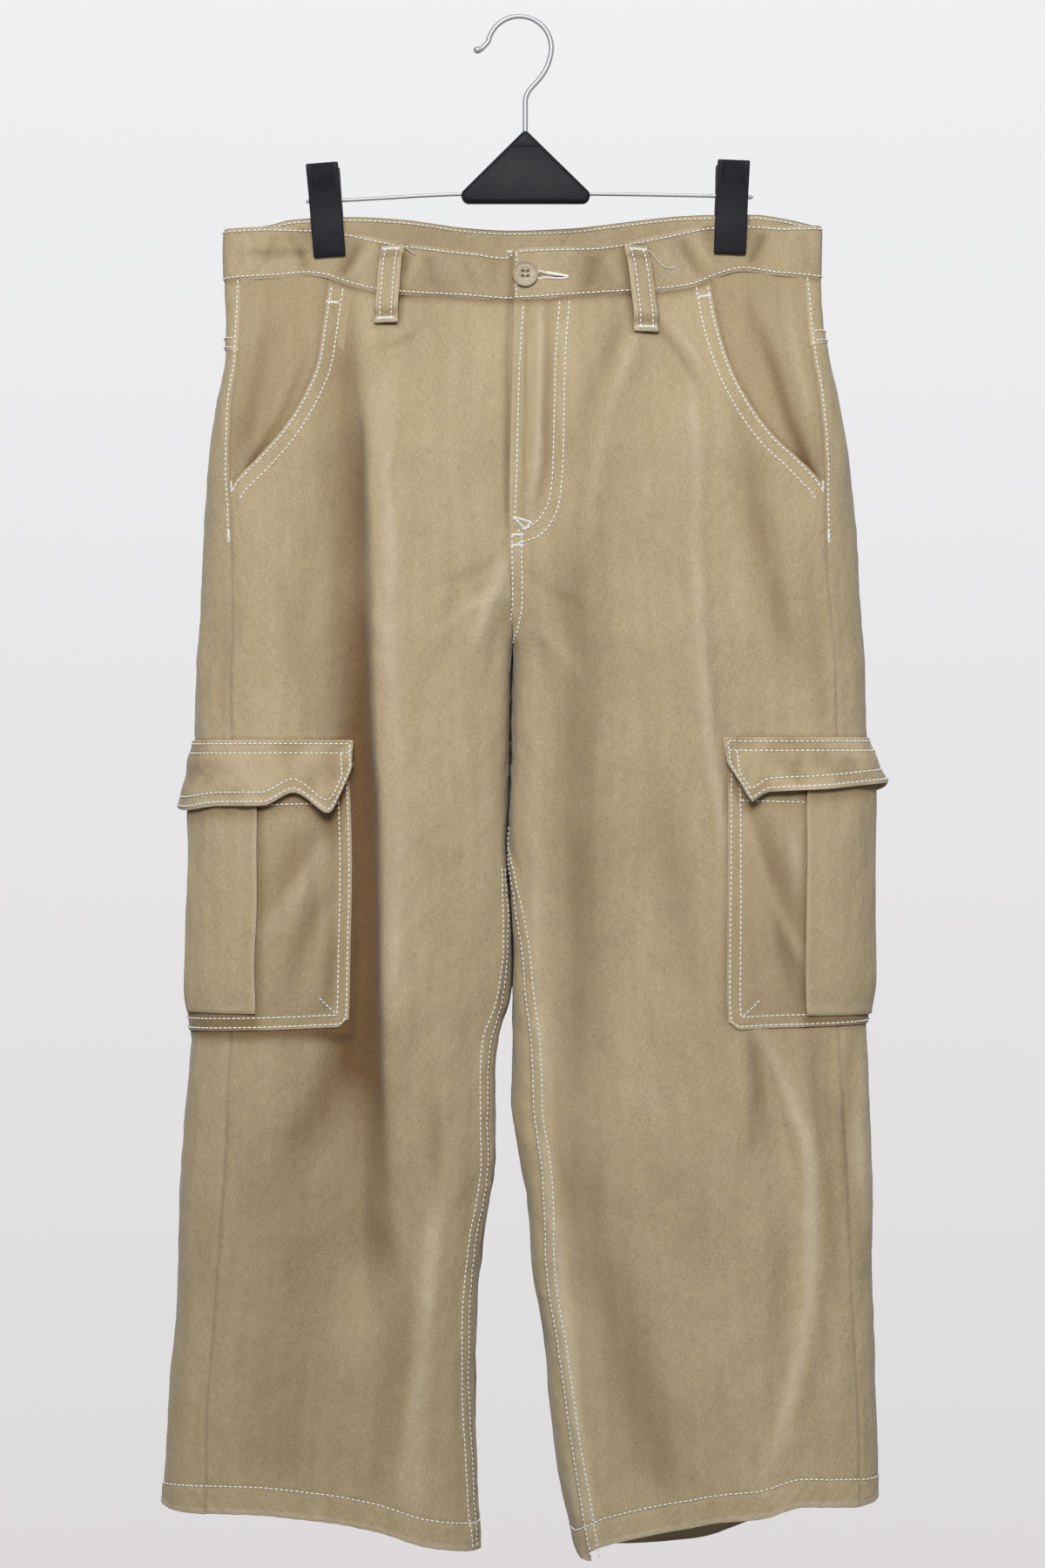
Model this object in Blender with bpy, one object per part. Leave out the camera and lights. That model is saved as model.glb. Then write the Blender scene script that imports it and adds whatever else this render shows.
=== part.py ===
"""Wide-leg cargo jeans held by a clip hanger: every sewn piece is its own thin closed wall.

The tables are in millimetres. "drop" is the distance below the mount, which is the underside of
the hanger's hook. x runs to the wearer's left, y to the back and z up, and the front faces -y.

Each leg is a ring of cloth. "turn" goes round it: -1 is its inner edge, the back lies between
-1 and 0, 0 is the outline at the side, the front lies between 0 and 1, and 1 is the inner edge
again. Above the crotch the inner edges are the centre seams, and below it they are the inseam.
"""

import math

import bmesh
import bpy
import numpy as np
from mathutils import Matrix, Vector

MM = 0.001

# Cloth walls
PANEL_WALL = 1.6
HEM_WALL = 2.6
HEM_HEIGHT = 19.0
BAND_WALL = 2.4
FACING_WALL = 1.2
POCKET_WALL = 1.5
FLAP_WALL = 2.0
LOOP_WALL = 2.4
ZIP_WALL = 1.0
SHIELD_WALL = 1.3
SEAM_GAP = 0.32
BAND_SEAM_GAP = 0.7
LAID_GAP = 0.35

# How the rings are rounded: 2 is an ellipse, more is boxier
ROUNDNESS = 3.0
INNER_ROUNDNESS = 4.0
CROTCH_DROP = 442.0
WAIST_SEAM_DROP = 181.0

LEG_COLUMNS = ("drop", "side", "inner", "front", "back", "rise_front", "rise_back", "side_seam", "inseam")

# side and inner are the x of the two outlines, front and back the depth of the ring. rise is the
# share of that depth kept at the centre seam, and the seams lie this far in from the outline.
RIGHT_LEG = (
    (130, -203.0, -4.0, 29, 29, 1.00, 1.00, 12, 0),
    (165, -203.4, -3.8, 32, 31, 1.00, 1.00, 12, 0),
    (200, -202.0, -3.6, 34, 34, 1.00, 1.00, 10, 0),
    (230, -202.2, -4.2, 37, 37, 1.00, 1.00, 9, 0),
    (265, -208.0, -5.2, 39, 41, 1.00, 1.00, 11, 0),
    (310, -213.3, -6.2, 41, 44, 1.00, 1.00, 15, 0),
    (360, -216.3, -6.6, 42, 45, 0.97, 1.00, 20, 0),
    (400, -217.8, -5.6, 42, 45, 0.84, 0.92, 22, 0),
    (424, -219.4, -4.6, 42, 45, 0.55, 0.66, 24, 0),
    (442, -221.0, -4.4, 42, 44, 0.00, 0.00, 25, 0),
    (456, -221.4, -5.4, 42, 44, 0.00, 0.00, 25, 0),
    (500, -222.5, -6.0, 42, 43, 0.00, 0.00, 27, 0),
    (570, -222.0, -8.2, 42, 41, 0.00, 0.00, 29, 1),
    (645, -224.0, -5.2, 42, 40, 0.00, 0.00, 30, 2),
    (672, -224.5, -6.8, 42, 40, 0.00, 0.00, 30, 3),
    (700, -225.8, -14.5, 41, 40, 0.00, 0.00, 30, 4),
    (725, -227.6, -17.4, 41, 40, 0.00, 0.00, 30, 4),
    (780, -231.0, -17.2, 41, 40, 0.00, 0.00, 31, 4),
    (847, -233.6, -26.8, 40, 40, 0.00, 0.00, 30, 4),
    (885, -235.2, -30.0, 40, 40, 0.00, 0.00, 28, 4),
    (950, -240.3, -31.4, 39, 40, 0.00, 0.00, 28, 3),
    (1007, -244.5, -30.0, 39, 40, 0.00, 0.00, 31, 2),
    (1060, -246.6, -27.0, 39, 40, 0.00, 0.00, 33, 1),
)
LEFT_LEG = (
    (130, 207.0, -4.0, 29, 29, 1.00, 1.00, 12, 0),
    (165, 207.2, -3.8, 32, 31, 1.00, 1.00, 12, 0),
    (200, 208.0, -3.6, 34, 34, 1.00, 1.00, 10, 0),
    (230, 213.0, -4.2, 37, 37, 1.00, 1.00, 12, 0),
    (265, 219.0, -5.2, 39, 41, 1.00, 1.00, 13, 0),
    (310, 226.4, -6.2, 41, 44, 1.00, 1.00, 18, 0),
    (360, 230.7, -6.6, 42, 45, 0.97, 1.00, 22, 0),
    (400, 232.8, -5.6, 42, 45, 0.84, 0.92, 22, 0),
    (424, 235.2, -4.6, 42, 45, 0.55, 0.66, 22, 0),
    (442, 237.2, -3.6, 41, 44, 0.00, 0.00, 22, 0),
    (456, 237.5, -2.7, 40, 43, 0.00, 0.00, 22, 0),
    (500, 238.4, -2.6, 37, 39, 0.00, 0.00, 22, 0),
    (570, 238.0, -3.4, 35, 36, 0.00, 0.00, 22, 0),
    (645, 237.6, -0.8, 35, 35, 0.00, 0.00, 22, 5),
    (672, 237.6, -3.0, 35, 35, 0.00, 0.00, 22, 8),
    (700, 238.6, -4.2, 35, 35, 0.00, 0.00, 21, 11),
    (745, 240.4, -4.8, 36, 36, 0.00, 0.00, 20, 13),
    (779, 241.0, 0.0, 37, 37, 0.00, 0.00, 18, 13),
    (815, 241.4, 6.4, 37, 38, 0.00, 0.00, 17, 10),
    (863, 241.8, 10.4, 38, 38, 0.00, 0.00, 16, 8),
    (911, 243.8, 18.6, 39, 39, 0.00, 0.00, 15, 8),
    (959, 245.2, 22.6, 40, 40, 0.00, 0.00, 14, 10),
    (1007, 245.8, 29.4, 40, 42, 0.00, 0.00, 14, 11),
    (1060, 245.4, 41.0, 40, 42, 0.00, 0.00, 14, 8),
)
LEGS = {"right": RIGHT_LEG, "left": LEFT_LEG}
OUTWARD = {"right": 1.0, "left": -1.0}

# The clips press the waist flat: here, this strongly, easing off this far below the band
CLIP_X = {"right": -131.0, "left": 146.0}
CLIP_HALF = 17.0
CLIP_SQUEEZE = 0.938
CLIP_REACH_IN = 92.0
CLIP_REACH_OUT = 150.0
CLIP_EASE_FROM = 157.0
CLIP_EASE_TO = 305.0

FOLD_COLUMNS = (
    "name", "leg", "face", "depth", "steep", "gentle", "hollow", "fade",
    "x_top", "drop_top", "x_middle", "drop_middle", "x_low", "drop_low",
)
# A fold runs down its path. Its steep flank starts at the path and falls towards the hollow side
# (-1 is -x), and its gentle flank rises again. A negative depth stands out as a ridge.
FOLDS = (
    ("thigh_step", "right", "front", 11.5, 32, 74, -1, 90, -106, 228, -95, 450, -87, 930),
    ("shin_ridge", "right", "front", -5.0, 24, 34, 1, 90, -74, 700, -82, 860, -70, 1010),
    ("crotch_right", "right", "front", 3.2, 9, 16, -1, 28, -22, 372, -32, 410, -46, 470),
    ("knee_right", "right", "front", 3.0, 16, 30, 1, 60, -60, 560, -50, 640, -34, 760),
    ("hip_curve", "left", "front", 7.0, 26, 52, 1, 110, 98, 250, 134, 560, 170, 960),
    ("thigh_hollow", "left", "front", 5.0, 34, 40, 1, 100, 46, 330, 40, 560, 56, 760),
    ("loop_pull", "left", "front", 3.0, 10, 18, -1, 30, 86, 205, 66, 262, 44, 330),
    ("pocket_drag_1", "left", "front", 3.4, 9, 13, -1, 24, 171, 696, 182, 745, 196, 800),
    ("pocket_drag_2", "left", "front", 3.0, 8, 12, 1, 24, 198, 694, 198, 740, 200, 790),
    ("shin_hollow", "left", "front", 5.0, 22, 40, 1, 90, 172, 790, 164, 890, 150, 1020),
    ("hem_wave_left", "left", "front", -4.0, 30, 34, 1, 60, 90, 900, 84, 980, 78, 1060),
    ("seat_right", "right", "back", 7.0, 34, 52, -1, 110, -84, 290, -92, 520, -98, 900),
    ("knee_back_right", "right", "back", 4.0, 18, 30, 1, 70, -70, 560, -58, 680, -50, 800),
    ("seat_left", "left", "back", 6.5, 34, 48, 1, 110, 88, 300, 104, 540, 118, 920),
    ("knee_back_left", "left", "back", 4.0, 18, 30, -1, 70, 74, 560, 66, 680, 62, 800),
)

# Lines across the cloth, as x and drop
BAND_TOP_FRONT = (
    (-203, 146), (-171, 144.5), (-146, 145), (-121, 147.5), (-92, 154), (-37, 165), (-9, 168), (-4, 165),
    (6, 163.2), (48, 162), (71, 158), (99, 150.5), (133, 143), (157, 142.5), (183, 144), (207, 143.5),
)
BAND_TOP_BACK = (
    (-203, 146), (-173, 142.5), (-158, 139), (-123, 137), (-81, 137.5), (-38, 140.5), (-4, 142),
    (27, 141), (70, 138), (113, 136), (161, 135.5), (182, 138), (207, 143.5),
)
BAND_LOW_FRONT = (
    (-203, 181.5), (-166, 179), (-146, 177), (-134, 178.5), (-118, 184), (-97, 189.5), (-57, 194.5),
    (-4, 198.5),
    (37, 196), (74, 192.5), (118, 186), (138, 177.5), (154, 174), (177, 177), (207, 180),
)
BAND_LOW_BACK = (
    (-203, 181.5), (-160, 177.5), (-81, 176.5), (-4, 181), (70, 177), (161, 174.5), (207, 180),
)
YOKE_LOW = ((-203, 229), (-110, 247), (-4, 268), (110, 244), (212, 224))
HEM_LINES = {
    ("right", "front"): (
        (-246, 1024), (-233, 1023), (-190, 1022), (-140, 1026), (-100, 1033), (-62, 1045), (-28, 1050),
    ),
    ("right", "back"): (
        (-246, 1019), (-233, 1022), (-213, 1022.8), (-190, 1026), (-120, 1038), (-62, 1047), (-28, 1050),
    ),
    ("left", "front"): (
        (38, 1054), (58, 1044), (80, 1038), (131, 1028), (163, 1025), (194, 1017), (217, 1018), (246, 1020),
    ),
    ("left", "back"): ((38, 1054), (76, 1058), (120, 1055), (180, 1035), (215, 1021), (231, 1019), (246, 1016)),
}

# The rows of a panel: their drop at the side seam, at the centre front and at the centre back
PANEL_ROWS = (
    (181, 198, 181), (193, 208, 203), (205, 219, 225), (217, 230, 247), (229, 241, 268),
    (242, 252, 277), (255, 263, 286), (281, 286, 303), (305, 308, 319), (328, 330, 336), (352, 353, 355),
)
LOWER_ROWS = (
    378, 402, 420, 432, CROTCH_DROP, 454, 476, 506, 540, 580, 620, 655, 690, 725, 765, 810, 860, 910, 960,
)
YOKE_ROW = 4
MOUTH_ROW = 9
ROWS_BENT_BELOW_WAIST = 7
ROWS_BENT_BELOW_YOKE = 4
HEM_STRETCH_FROM = 500.0
HEM_BEND_FROM = 760.0
PANEL_COLUMNS = {"front": 22, "back": 17}
WAIST_SIDE_COLUMNS = 5

# The front pocket mouths, as drop and x
POCKET_MOUTHS = {
    "right": ((185, -131), (208, -134), (239, -138), (265, -148), (285, -160), (305, -177), (320, -192)),
    "left": ((185, 131), (214, 136), (245, 145), (269, 157), (290, 172), (305, 188), (320, 203)),
}
FACING_GRID = (6, 8)
FACING_LOW = 338.0
FACING_UNDERLAP = 14.0
FACING_LIFT = -3.2
FACING_TUCK = 0.4

# Cargo pockets: distances are along the cloth from the side seam, + to the front
CARGO_COLUMNS = (
    "front_edge", "back_edge", "top", "low_front", "low_back", "pleat_from", "pleat_to", "pleat_last_row",
)
CARGO = {
    "right": (80.0, -95.0, 512.0, 692.0, 697.0, 8, 14, 7),
    "left": (76.0, -99.0, 510.0, 694.0, 688.0, 7, 13, 6),
}
CARGO_GRID = (23, 8)
CARGO_SEAT = 0.6
CARGO_TOP_LIFT = PANEL_WALL / 2 + CARGO_SEAT + POCKET_WALL / 2
CARGO_PUFF = 4.0
CARGO_PUFF_IN = 26.0
CARGO_PUFF_UP = 34.0
CARGO_PUFF_DOWN = 40.0
CARGO_TOP_PUFF = 0.55
CARGO_CORNER = 8.0

# The top of each flap, and its lower edge: distance along the cloth, drop, and how far it curls out
FLAP_TOPS = {"right": 498.0, "left": 496.0}
FLAP_EDGES = {
    "right": (
        (-98, 540, 2), (-60, 541, 2.5), (-30, 544, 2.5), (-6, 541, 2), (20, 541, 4), (40, 532, 3), (62, 546, 9),
        (78, 524, 7), (83, 514, 4),
    ),
    "left": (
        (-102, 534, 2), (-60, 532, 4), (-34, 525, 8), (-20, 526, 5), (8, 529, 3), (46, 531, 4), (62, 538, 9),
        (74, 522, 7), (79, 512, 4),
    ),
}
FLAP_COLUMNS = 19
FLAP_SHARES = (0.0, 0.22, 0.42, 0.62, 0.82, 1.0)
FLAP_SEAT = 1.15
FLAP_OVER_PLEAT = 14.0

LOOP_COLUMNS = ("name", "face", "x_top", "drop_top", "x_low", "drop_low")
LOOPS = (
    ("front_right", "front", -86, 158.5, -90.5, 212),
    ("front_left", "front", 78.5, 160.5, 86, 219),
    ("back_right", "back", -80, 140, -82, 194),
    ("back_centre", "back", -4, 144, -4, 198),
    ("back_left", "back", 86, 139, 88, 192),
)
LOOP_ROWS = 9
LOOP_WIDTH = 15.0
LOOP_STANDOFF = 3.2
LOOP_FEET = (0.3, 0.34)

# Front fastening
UNDERLAP_COLUMNS = (34.0, 26.0, 18.0, 10.0, 3.0)
BAND_STEP = 2.0
UNDERLAP_RAMP = (-34.0, -10.0)
UNDERLAP_LIFT = -(BAND_WALL + LAID_GAP + 0.3)
UNDERLAP_EASE = (1.2, 0.6)
OVERLAP_END = -6.5
ZIP_FROM_TO = (-9.0, 17.0)
ZIP_LIFT = -1.9
SHIELD_FROM_TO = (-17.0, 30.0)
SHIELD_LIFT = -3.6
FLY_GRID = (5, 7)
FLY_DROPS = (201.5, 352.0)
BUTTON_AT = (4.0, 181.0)
BUTTON_DIAMETER = 17.4
BUTTON_THICKNESS = 3.0
BUTTON_RIM = 1.9
BUTTON_DISH = 0.8
BUTTON_STEPS = 24
BUTTON_HOLE = 1.9
BUTTON_HOLE_RING = 2.4
BUTTONHOLE_FROM_TO = (14.5, 31.0)
BUTTONHOLE_DROP = 182.0
BUTTONHOLE_WIDTH = 1.3
BUTTONHOLE_DEPTH = 3.6
BUTTONHOLE_LEAN = 1.5
BAND_SHARES = (0.0, 0.64, 1.0)

# Hanger
HOOK_WIRE = 3.5
HOOK_RADIUS = 22.0
HOOK_TIP_ANGLE = 168.0
HOOK_BEND_ANGLE = -14.0
HOOK_CROWN_POINTS = 24
# The small curl of the tip, with how thick the wire swells there, and the bend down to the stem
HOOK_TIP = ((-31.5, 20.8, 1.35), (-29.0, 21.4, 1.55), (-26.2, 20.6, 1.2), (-23.9, 18.4, 1.0))
HOOK_RETURN = ((19.6, 31.5), (16.6, 37.5), (12.2, 43.2), (8.0, 47.8), (5.2, 52.0), (4.0, 57.0), (4.0, 66.0))
STEM_X = 4.0
STEM_TOP = 68.0
STEM_LOW = 88.0
BAR_WIRE = 2.8
BAR_POINTS = ((-147, 126), (-122, 125), (-40, 120.8), (4.5, 120.2), (49, 120.6), (134, 122), (161, 123))
BLOCK_OUTLINE = ((4, 76.5), (49.5, 121), (46.5, 127.5), (-38, 127.5), (-41, 121))
BLOCK_DEPTH = 11.0
BLOCK_CORNER = 3.2
WIRE_CLEARANCE = 0.3
BORE_OVERRUN = 8.0
CLIP_COLUMNS = ("name", "x", "top_drop", "lean_degrees")
CLIPS = (("right", -135.5, 101.0, -4.6), ("left", 147.0, 99.0, 2.2))
JAW_WIDTH = 22.0
# The side view of the front jaw, as y and distance below its top
JAW_PROFILE = (
    (-9.5, 0), (-15.5, 0.8), (-15.8, 6), (-10.2, 22), (-9.4, 40), (-8.2, 60), (-6.8, 64),
    (-3.9, 64), (-3.9, 33), (-1.75, 27.5), (-1.75, 16),
)

COLOURS = {
    "cloth": (0.44, 0.35, 0.22, 1.0),
    "cloth_light": (0.47, 0.38, 0.24, 1.0),
    "button": (0.38, 0.31, 0.20, 1.0),
    "plastic": (0.03, 0.03, 0.035, 1.0),
    "wire": (0.75, 0.76, 0.77, 1.0),
    "zip": (0.55, 0.45, 0.25, 1.0),
}
# Roughness and metalness
FINISHES = {
    "cloth": (0.9, 0.0), "cloth_light": (0.9, 0.0), "button": (0.45, 0.0), "plastic": (0.4, 0.0),
    "wire": (0.2, 1.0), "zip": (0.5, 0.6),
}


def clear_scene():
    for obj in list(bpy.data.objects):
        bpy.data.objects.remove(obj, do_unlink=True)


def material(name):
    found = bpy.data.materials.get(name)
    if found:
        return found
    made = bpy.data.materials.new(name)
    made.use_nodes = True
    shader = made.node_tree.nodes["Principled BSDF"]
    shader.inputs["Base Color"].default_value = COLOURS[name]
    shader.inputs["Roughness"].default_value = FINISHES[name][0]
    shader.inputs["Metallic"].default_value = FINISHES[name][1]
    return made


def ease(share):
    share = np.clip(share, 0.0, 1.0)
    return share * share * (3.0 - 2.0 * share)


def through(knots, values, at):
    """A smooth curve through the values that never swings past them."""
    knots = np.asarray(knots, float)
    values = np.asarray(values, float)
    steps = np.diff(knots)
    slopes = np.diff(values) / steps
    tangents = np.zeros(len(knots))
    tangents[0] = slopes[0]
    tangents[-1] = slopes[-1]
    for i in range(1, len(slopes)):
        if slopes[i - 1] * slopes[i] > 0:
            tangents[i] = 2.0 * slopes[i - 1] * slopes[i] / (slopes[i - 1] + slopes[i])
    at = np.clip(np.asarray(at, float), knots[0], knots[-1])
    i = np.clip(np.searchsorted(knots, at, side="right") - 1, 0, len(steps) - 1)
    t = (at - knots[i]) / steps[i]
    rest = 1.0 - t
    return (
        values[i] * (1 + 2 * t) * rest**2
        + tangents[i] * steps[i] * t * rest**2
        + values[i + 1] * (3 - 2 * t) * t**2
        - tangents[i + 1] * steps[i] * rest * t**2
    )


def line(points, at):
    return through([p[0] for p in points], [p[1] for p in points], at)


def leg_value(leg, column, drop):
    rows = LEGS[leg]
    place = LEG_COLUMNS.index(column)
    return through([row[0] for row in rows], [row[place] for row in rows], drop)


def fold_depth(leg, face, x, drop):
    """How far the folds push the cloth inwards here."""
    total = np.zeros(np.shape(x))
    for row in FOLDS:
        fold = dict(zip(FOLD_COLUMNS, row))
        if fold["leg"] != leg or fold["face"] != face:
            continue
        drops = (fold["drop_top"], fold["drop_middle"], fold["drop_low"])
        path = through(drops, (fold["x_top"], fold["x_middle"], fold["x_low"]), drop)
        away = (x - path) * fold["hollow"]
        fall = ease(away / fold["steep"])
        rise = ease((away - fold["steep"]) / fold["gentle"])
        ends = ease((drop - drops[0]) / fold["fade"]) * ease((drops[2] - drop) / fold["fade"])
        total = total + fold["depth"] * (fall - rise) * ends
    return total


def clip_squeeze(leg, x, drop):
    """The share of the depth that the clip takes away."""
    towards_centre = 1.0 if leg == "right" else -1.0
    away = (x - CLIP_X[leg]) * towards_centre
    reach = np.where(away > 0, CLIP_REACH_IN, CLIP_REACH_OUT)
    near = 1.0 - ease((np.abs(away) - CLIP_HALF) / reach)
    low = 1.0 - ease((drop - CLIP_EASE_FROM) / (CLIP_EASE_TO - CLIP_EASE_FROM))
    return CLIP_SQUEEZE * near * low


def surface(leg, turn, drop):
    """The middle of the cloth at this turn and drop, in millimetres."""
    turn, drop = np.broadcast_arrays(np.asarray(turn, float), np.asarray(drop, float))
    side = leg_value(leg, "side", drop)
    inner = leg_value(leg, "inner", drop)
    share = (1.0 - np.cos(math.pi * np.clip(np.abs(turn), 0.0, 1.0))) / 2.0
    x = side + (inner - side) * share
    across = 2.0 * share - 1.0
    depths = np.zeros(np.shape(turn))
    for face, sign in (("front", -1.0), ("back", 1.0)):
        here = (turn >= 0) if face == "front" else (turn < 0)
        depth = leg_value(leg, face, drop)
        rise = leg_value(leg, "rise_" + face, drop)
        outer = (1.0 - np.clip(-across, 0, 1) ** ROUNDNESS) ** (1.0 / ROUNDNESS)
        bend = 1.0 + (INNER_ROUNDNESS - 1.0) * (1.0 - rise)
        dip = (1.0 - np.clip(across, 0, 1) ** INNER_ROUNDNESS) ** (1.0 / bend)
        shape = outer * (rise + (1.0 - rise) * dip)
        taken = 1.0 - clip_squeeze(leg, x, drop)
        depths = np.where(here, sign * shape * (depth * taken - fold_depth(leg, face, x, drop)), depths)
    return np.stack([x, depths, -drop], axis=-1)


def normals(leg, turn, drop):
    """Outward unit normals of the cloth."""
    turn, drop = np.broadcast_arrays(np.asarray(turn, float), np.asarray(drop, float))
    step = 0.004
    low = np.maximum(turn - step, -1.0)
    high = np.minimum(turn + step, 1.0)
    around = surface(leg, high, drop) - surface(leg, low, drop)
    down = surface(leg, turn, drop + 1.0) - surface(leg, turn, drop - 1.0)
    found = np.cross(down, around) * OUTWARD[leg]
    return found / np.linalg.norm(found, axis=-1, keepdims=True)


def turn_at(leg, x, drop, face="front"):
    """The turn at which the cloth passes this x."""
    side = leg_value(leg, "side", drop)
    inner = leg_value(leg, "inner", drop)
    share = np.clip((x - side) / (inner - side), 0.0, 1.0)
    turn = np.arccos(1.0 - 2.0 * share) / math.pi
    return turn if face == "front" else -turn


def inwards(leg):
    return 1.0 if leg == "right" else -1.0


def side_seam_turn(leg, drop):
    x = leg_value(leg, "side", drop) + inwards(leg) * leg_value(leg, "side_seam", drop)
    return turn_at(leg, x, drop)


def inseam_turn(leg, drop):
    x = leg_value(leg, "inner", drop) - inwards(leg) * leg_value(leg, "inseam", drop)
    return turn_at(leg, x, drop)


def turn_along(leg, drop, distance):
    """The turn this far along the cloth from the side seam, at one drop."""
    turns = np.linspace(-0.98, 0.98, 241)
    ring = surface(leg, turns, drop)
    lengths = np.concatenate([[0.0], np.cumsum(np.linalg.norm(np.diff(ring, axis=0), axis=1))])
    start = np.interp(side_seam_turn(leg, drop), turns, lengths)
    return np.interp(start + np.asarray(distance, float), lengths, turns)


def drop_lines(leg, face):
    """For each row of a panel, its drop at the side seam and at the inner edge."""
    place = 1 if face == "front" else 2
    hem = HEM_LINES[leg, face]
    side_end, inner_end = (hem[0], hem[-1]) if leg == "right" else (hem[-1], hem[0])
    rows = [(row[0], row[place]) for row in PANEL_ROWS]
    growth = inner_end[1] - side_end[1]
    lower = [float(drop) for drop in LOWER_ROWS] + [side_end[1] - HEM_HEIGHT, side_end[1]]
    for drop in lower:
        share = max(0.0, drop - HEM_STRETCH_FROM) / (side_end[1] - HEM_STRETCH_FROM)
        rows.append((drop, drop + growth * share))
    return rows


def row_drops(leg, face, index, x, rows):
    """The drops along one row of a panel, which bends to the seam above it and to the hem."""
    side = leg_value(leg, "side", rows[index][0])
    inner = leg_value(leg, "inner", rows[index][1])
    share = np.clip((x - side) / (inner - side), 0.0, 1.0)
    straight = rows[index][0] + (rows[index][1] - rows[index][0]) * share
    if face == "front":
        top, top_row, last_bent = BAND_LOW_FRONT, 0, ROWS_BENT_BELOW_WAIST
    else:
        top, top_row, last_bent = YOKE_LOW, YOKE_ROW, YOKE_ROW + ROWS_BENT_BELOW_YOKE
        if index < YOKE_ROW:
            seam = line(BAND_LOW_BACK, x)
            return seam + (line(YOKE_LOW, x) - seam) * index / YOKE_ROW
    top_straight = rows[top_row][0] + (rows[top_row][1] - rows[top_row][0]) * share
    low_straight = rows[-1][0] + (rows[-1][1] - rows[-1][0]) * share
    top_part = ease(1.0 - (index - top_row) / last_bent)
    low_part = ease((rows[index][0] - HEM_BEND_FROM) / (rows[-1][0] - HEM_HEIGHT - HEM_BEND_FROM))
    hem = line(HEM_LINES[leg, face], x)
    return straight + (line(top, x) - top_straight) * top_part + (hem - low_straight) * low_part


def cloth_grid(leg, face, first, last=None):
    """Turns and drops of a panel's points, row by row from the side to the inner edge."""
    rows = drop_lines(leg, face)
    columns = PANEL_COLUMNS[face]
    last = len(rows) - 1 if last is None else last
    turns, drops = [], []
    for index in range(first, last + 1):
        guess = np.linspace(rows[index][0], rows[index][1], columns)
        for _ in range(3):
            start = edge_turn(leg, face, index, guess[0])
            if face == "front":
                end = 1.0 if guess[-1] < CROTCH_DROP else inseam_turn(leg, guess[-1])
            else:
                end = -1.0 if guess[-1] < CROTCH_DROP else inseam_turn(leg, guess[-1]) - 2.0
            turn = start + (end - start) * np.linspace(0.0, 1.0, columns)
            x = surface(leg, fold_round(turn), guess)[..., 0]
            guess = row_drops(leg, face, index, x, rows)
        turns.append(turn)
        drops.append(guess)
    return np.array(turns), np.array(drops)


def fold_round(turn):
    """A turn below -1 has passed the inner edge and is on the front again."""
    return np.where(turn < -1.0, turn + 2.0, turn)


def edge_turn(leg, face, index, drop):
    if face == "front" and index < MOUTH_ROW:
        return turn_at(leg, line(POCKET_MOUTHS[leg], drop), drop)
    return side_seam_turn(leg, drop)


def drawn_in(points, top=True, bottom=True, start=True, end=True, gap=SEAM_GAP):
    """The grid with its chosen edges moved half a seam gap towards its middle."""
    moved = points.copy()
    half = gap / 2.0

    def step(edge, next_to):
        away = next_to - edge
        return edge + away * half / np.linalg.norm(away, axis=-1, keepdims=True)

    if top:
        moved[0] = step(points[0], points[1])
    if bottom:
        moved[-1] = step(points[-1], points[-2])
    if start:
        moved[:, 0] = step(moved[:, 0], moved[:, 1])
    if end:
        moved[:, -1] = step(moved[:, -1], moved[:, -2])
    return moved


def wall(name, points, outward, thickness, slot, lift=0.0):
    """A closed wall between the grid moved out and the grid moved in."""
    rows, columns = points.shape[:2]
    thickness = np.broadcast_to(np.asarray(thickness, float), (rows, columns))[..., None]
    lift = np.broadcast_to(np.asarray(lift, float), (rows, columns))[..., None]
    outer = points + outward * (lift + thickness / 2.0)
    inner = points + outward * (lift - thickness / 2.0)
    return closed_wall(name, outer, inner, slot)


def closed_wall(name, outer, inner, slot):
    rows, columns = outer.shape[:2]
    count = rows * columns
    mesh = bmesh.new()
    points = np.concatenate([outer.reshape(-1, 3), inner.reshape(-1, 3)])
    verts = [mesh.verts.new(Vector(point) * MM) for point in points]

    def at(row, column, layer):
        return verts[layer * count + row * columns + column]

    for row in range(rows - 1):
        for column in range(columns - 1):
            for layer in (0, 1):
                corners = [(row, column), (row + 1, column), (row + 1, column + 1), (row, column + 1)]
                mesh.faces.new([at(*corner, layer) for corner in corners])
    sides = [((row, column), (row + 1, column)) for row in range(rows - 1) for column in (0, columns - 1)]
    sides += [((row, column), (row, column + 1)) for column in range(columns - 1) for row in (0, rows - 1)]
    for start, end in sides:
        mesh.faces.new([at(*start, 0), at(*start, 1), at(*end, 1), at(*end, 0)])
    bmesh.ops.recalc_face_normals(mesh, faces=mesh.faces)
    return to_object(name, mesh, slot)


def to_object(name, mesh, slot, smooth_degrees=40.0):
    data = bpy.data.meshes.new(name)
    mesh.to_mesh(data)
    mesh.free()
    data.materials.append(material(slot))
    data.shade_smooth()
    data.set_sharp_from_angle(angle=math.radians(smooth_degrees))
    obj = bpy.data.objects.new(name, data)
    bpy.context.scene.collection.objects.link(obj)
    return obj


def cloth_at(leg, turns, drops):
    turns = fold_round(turns)
    return surface(leg, turns, drops), normals(leg, turns, drops)


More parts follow.
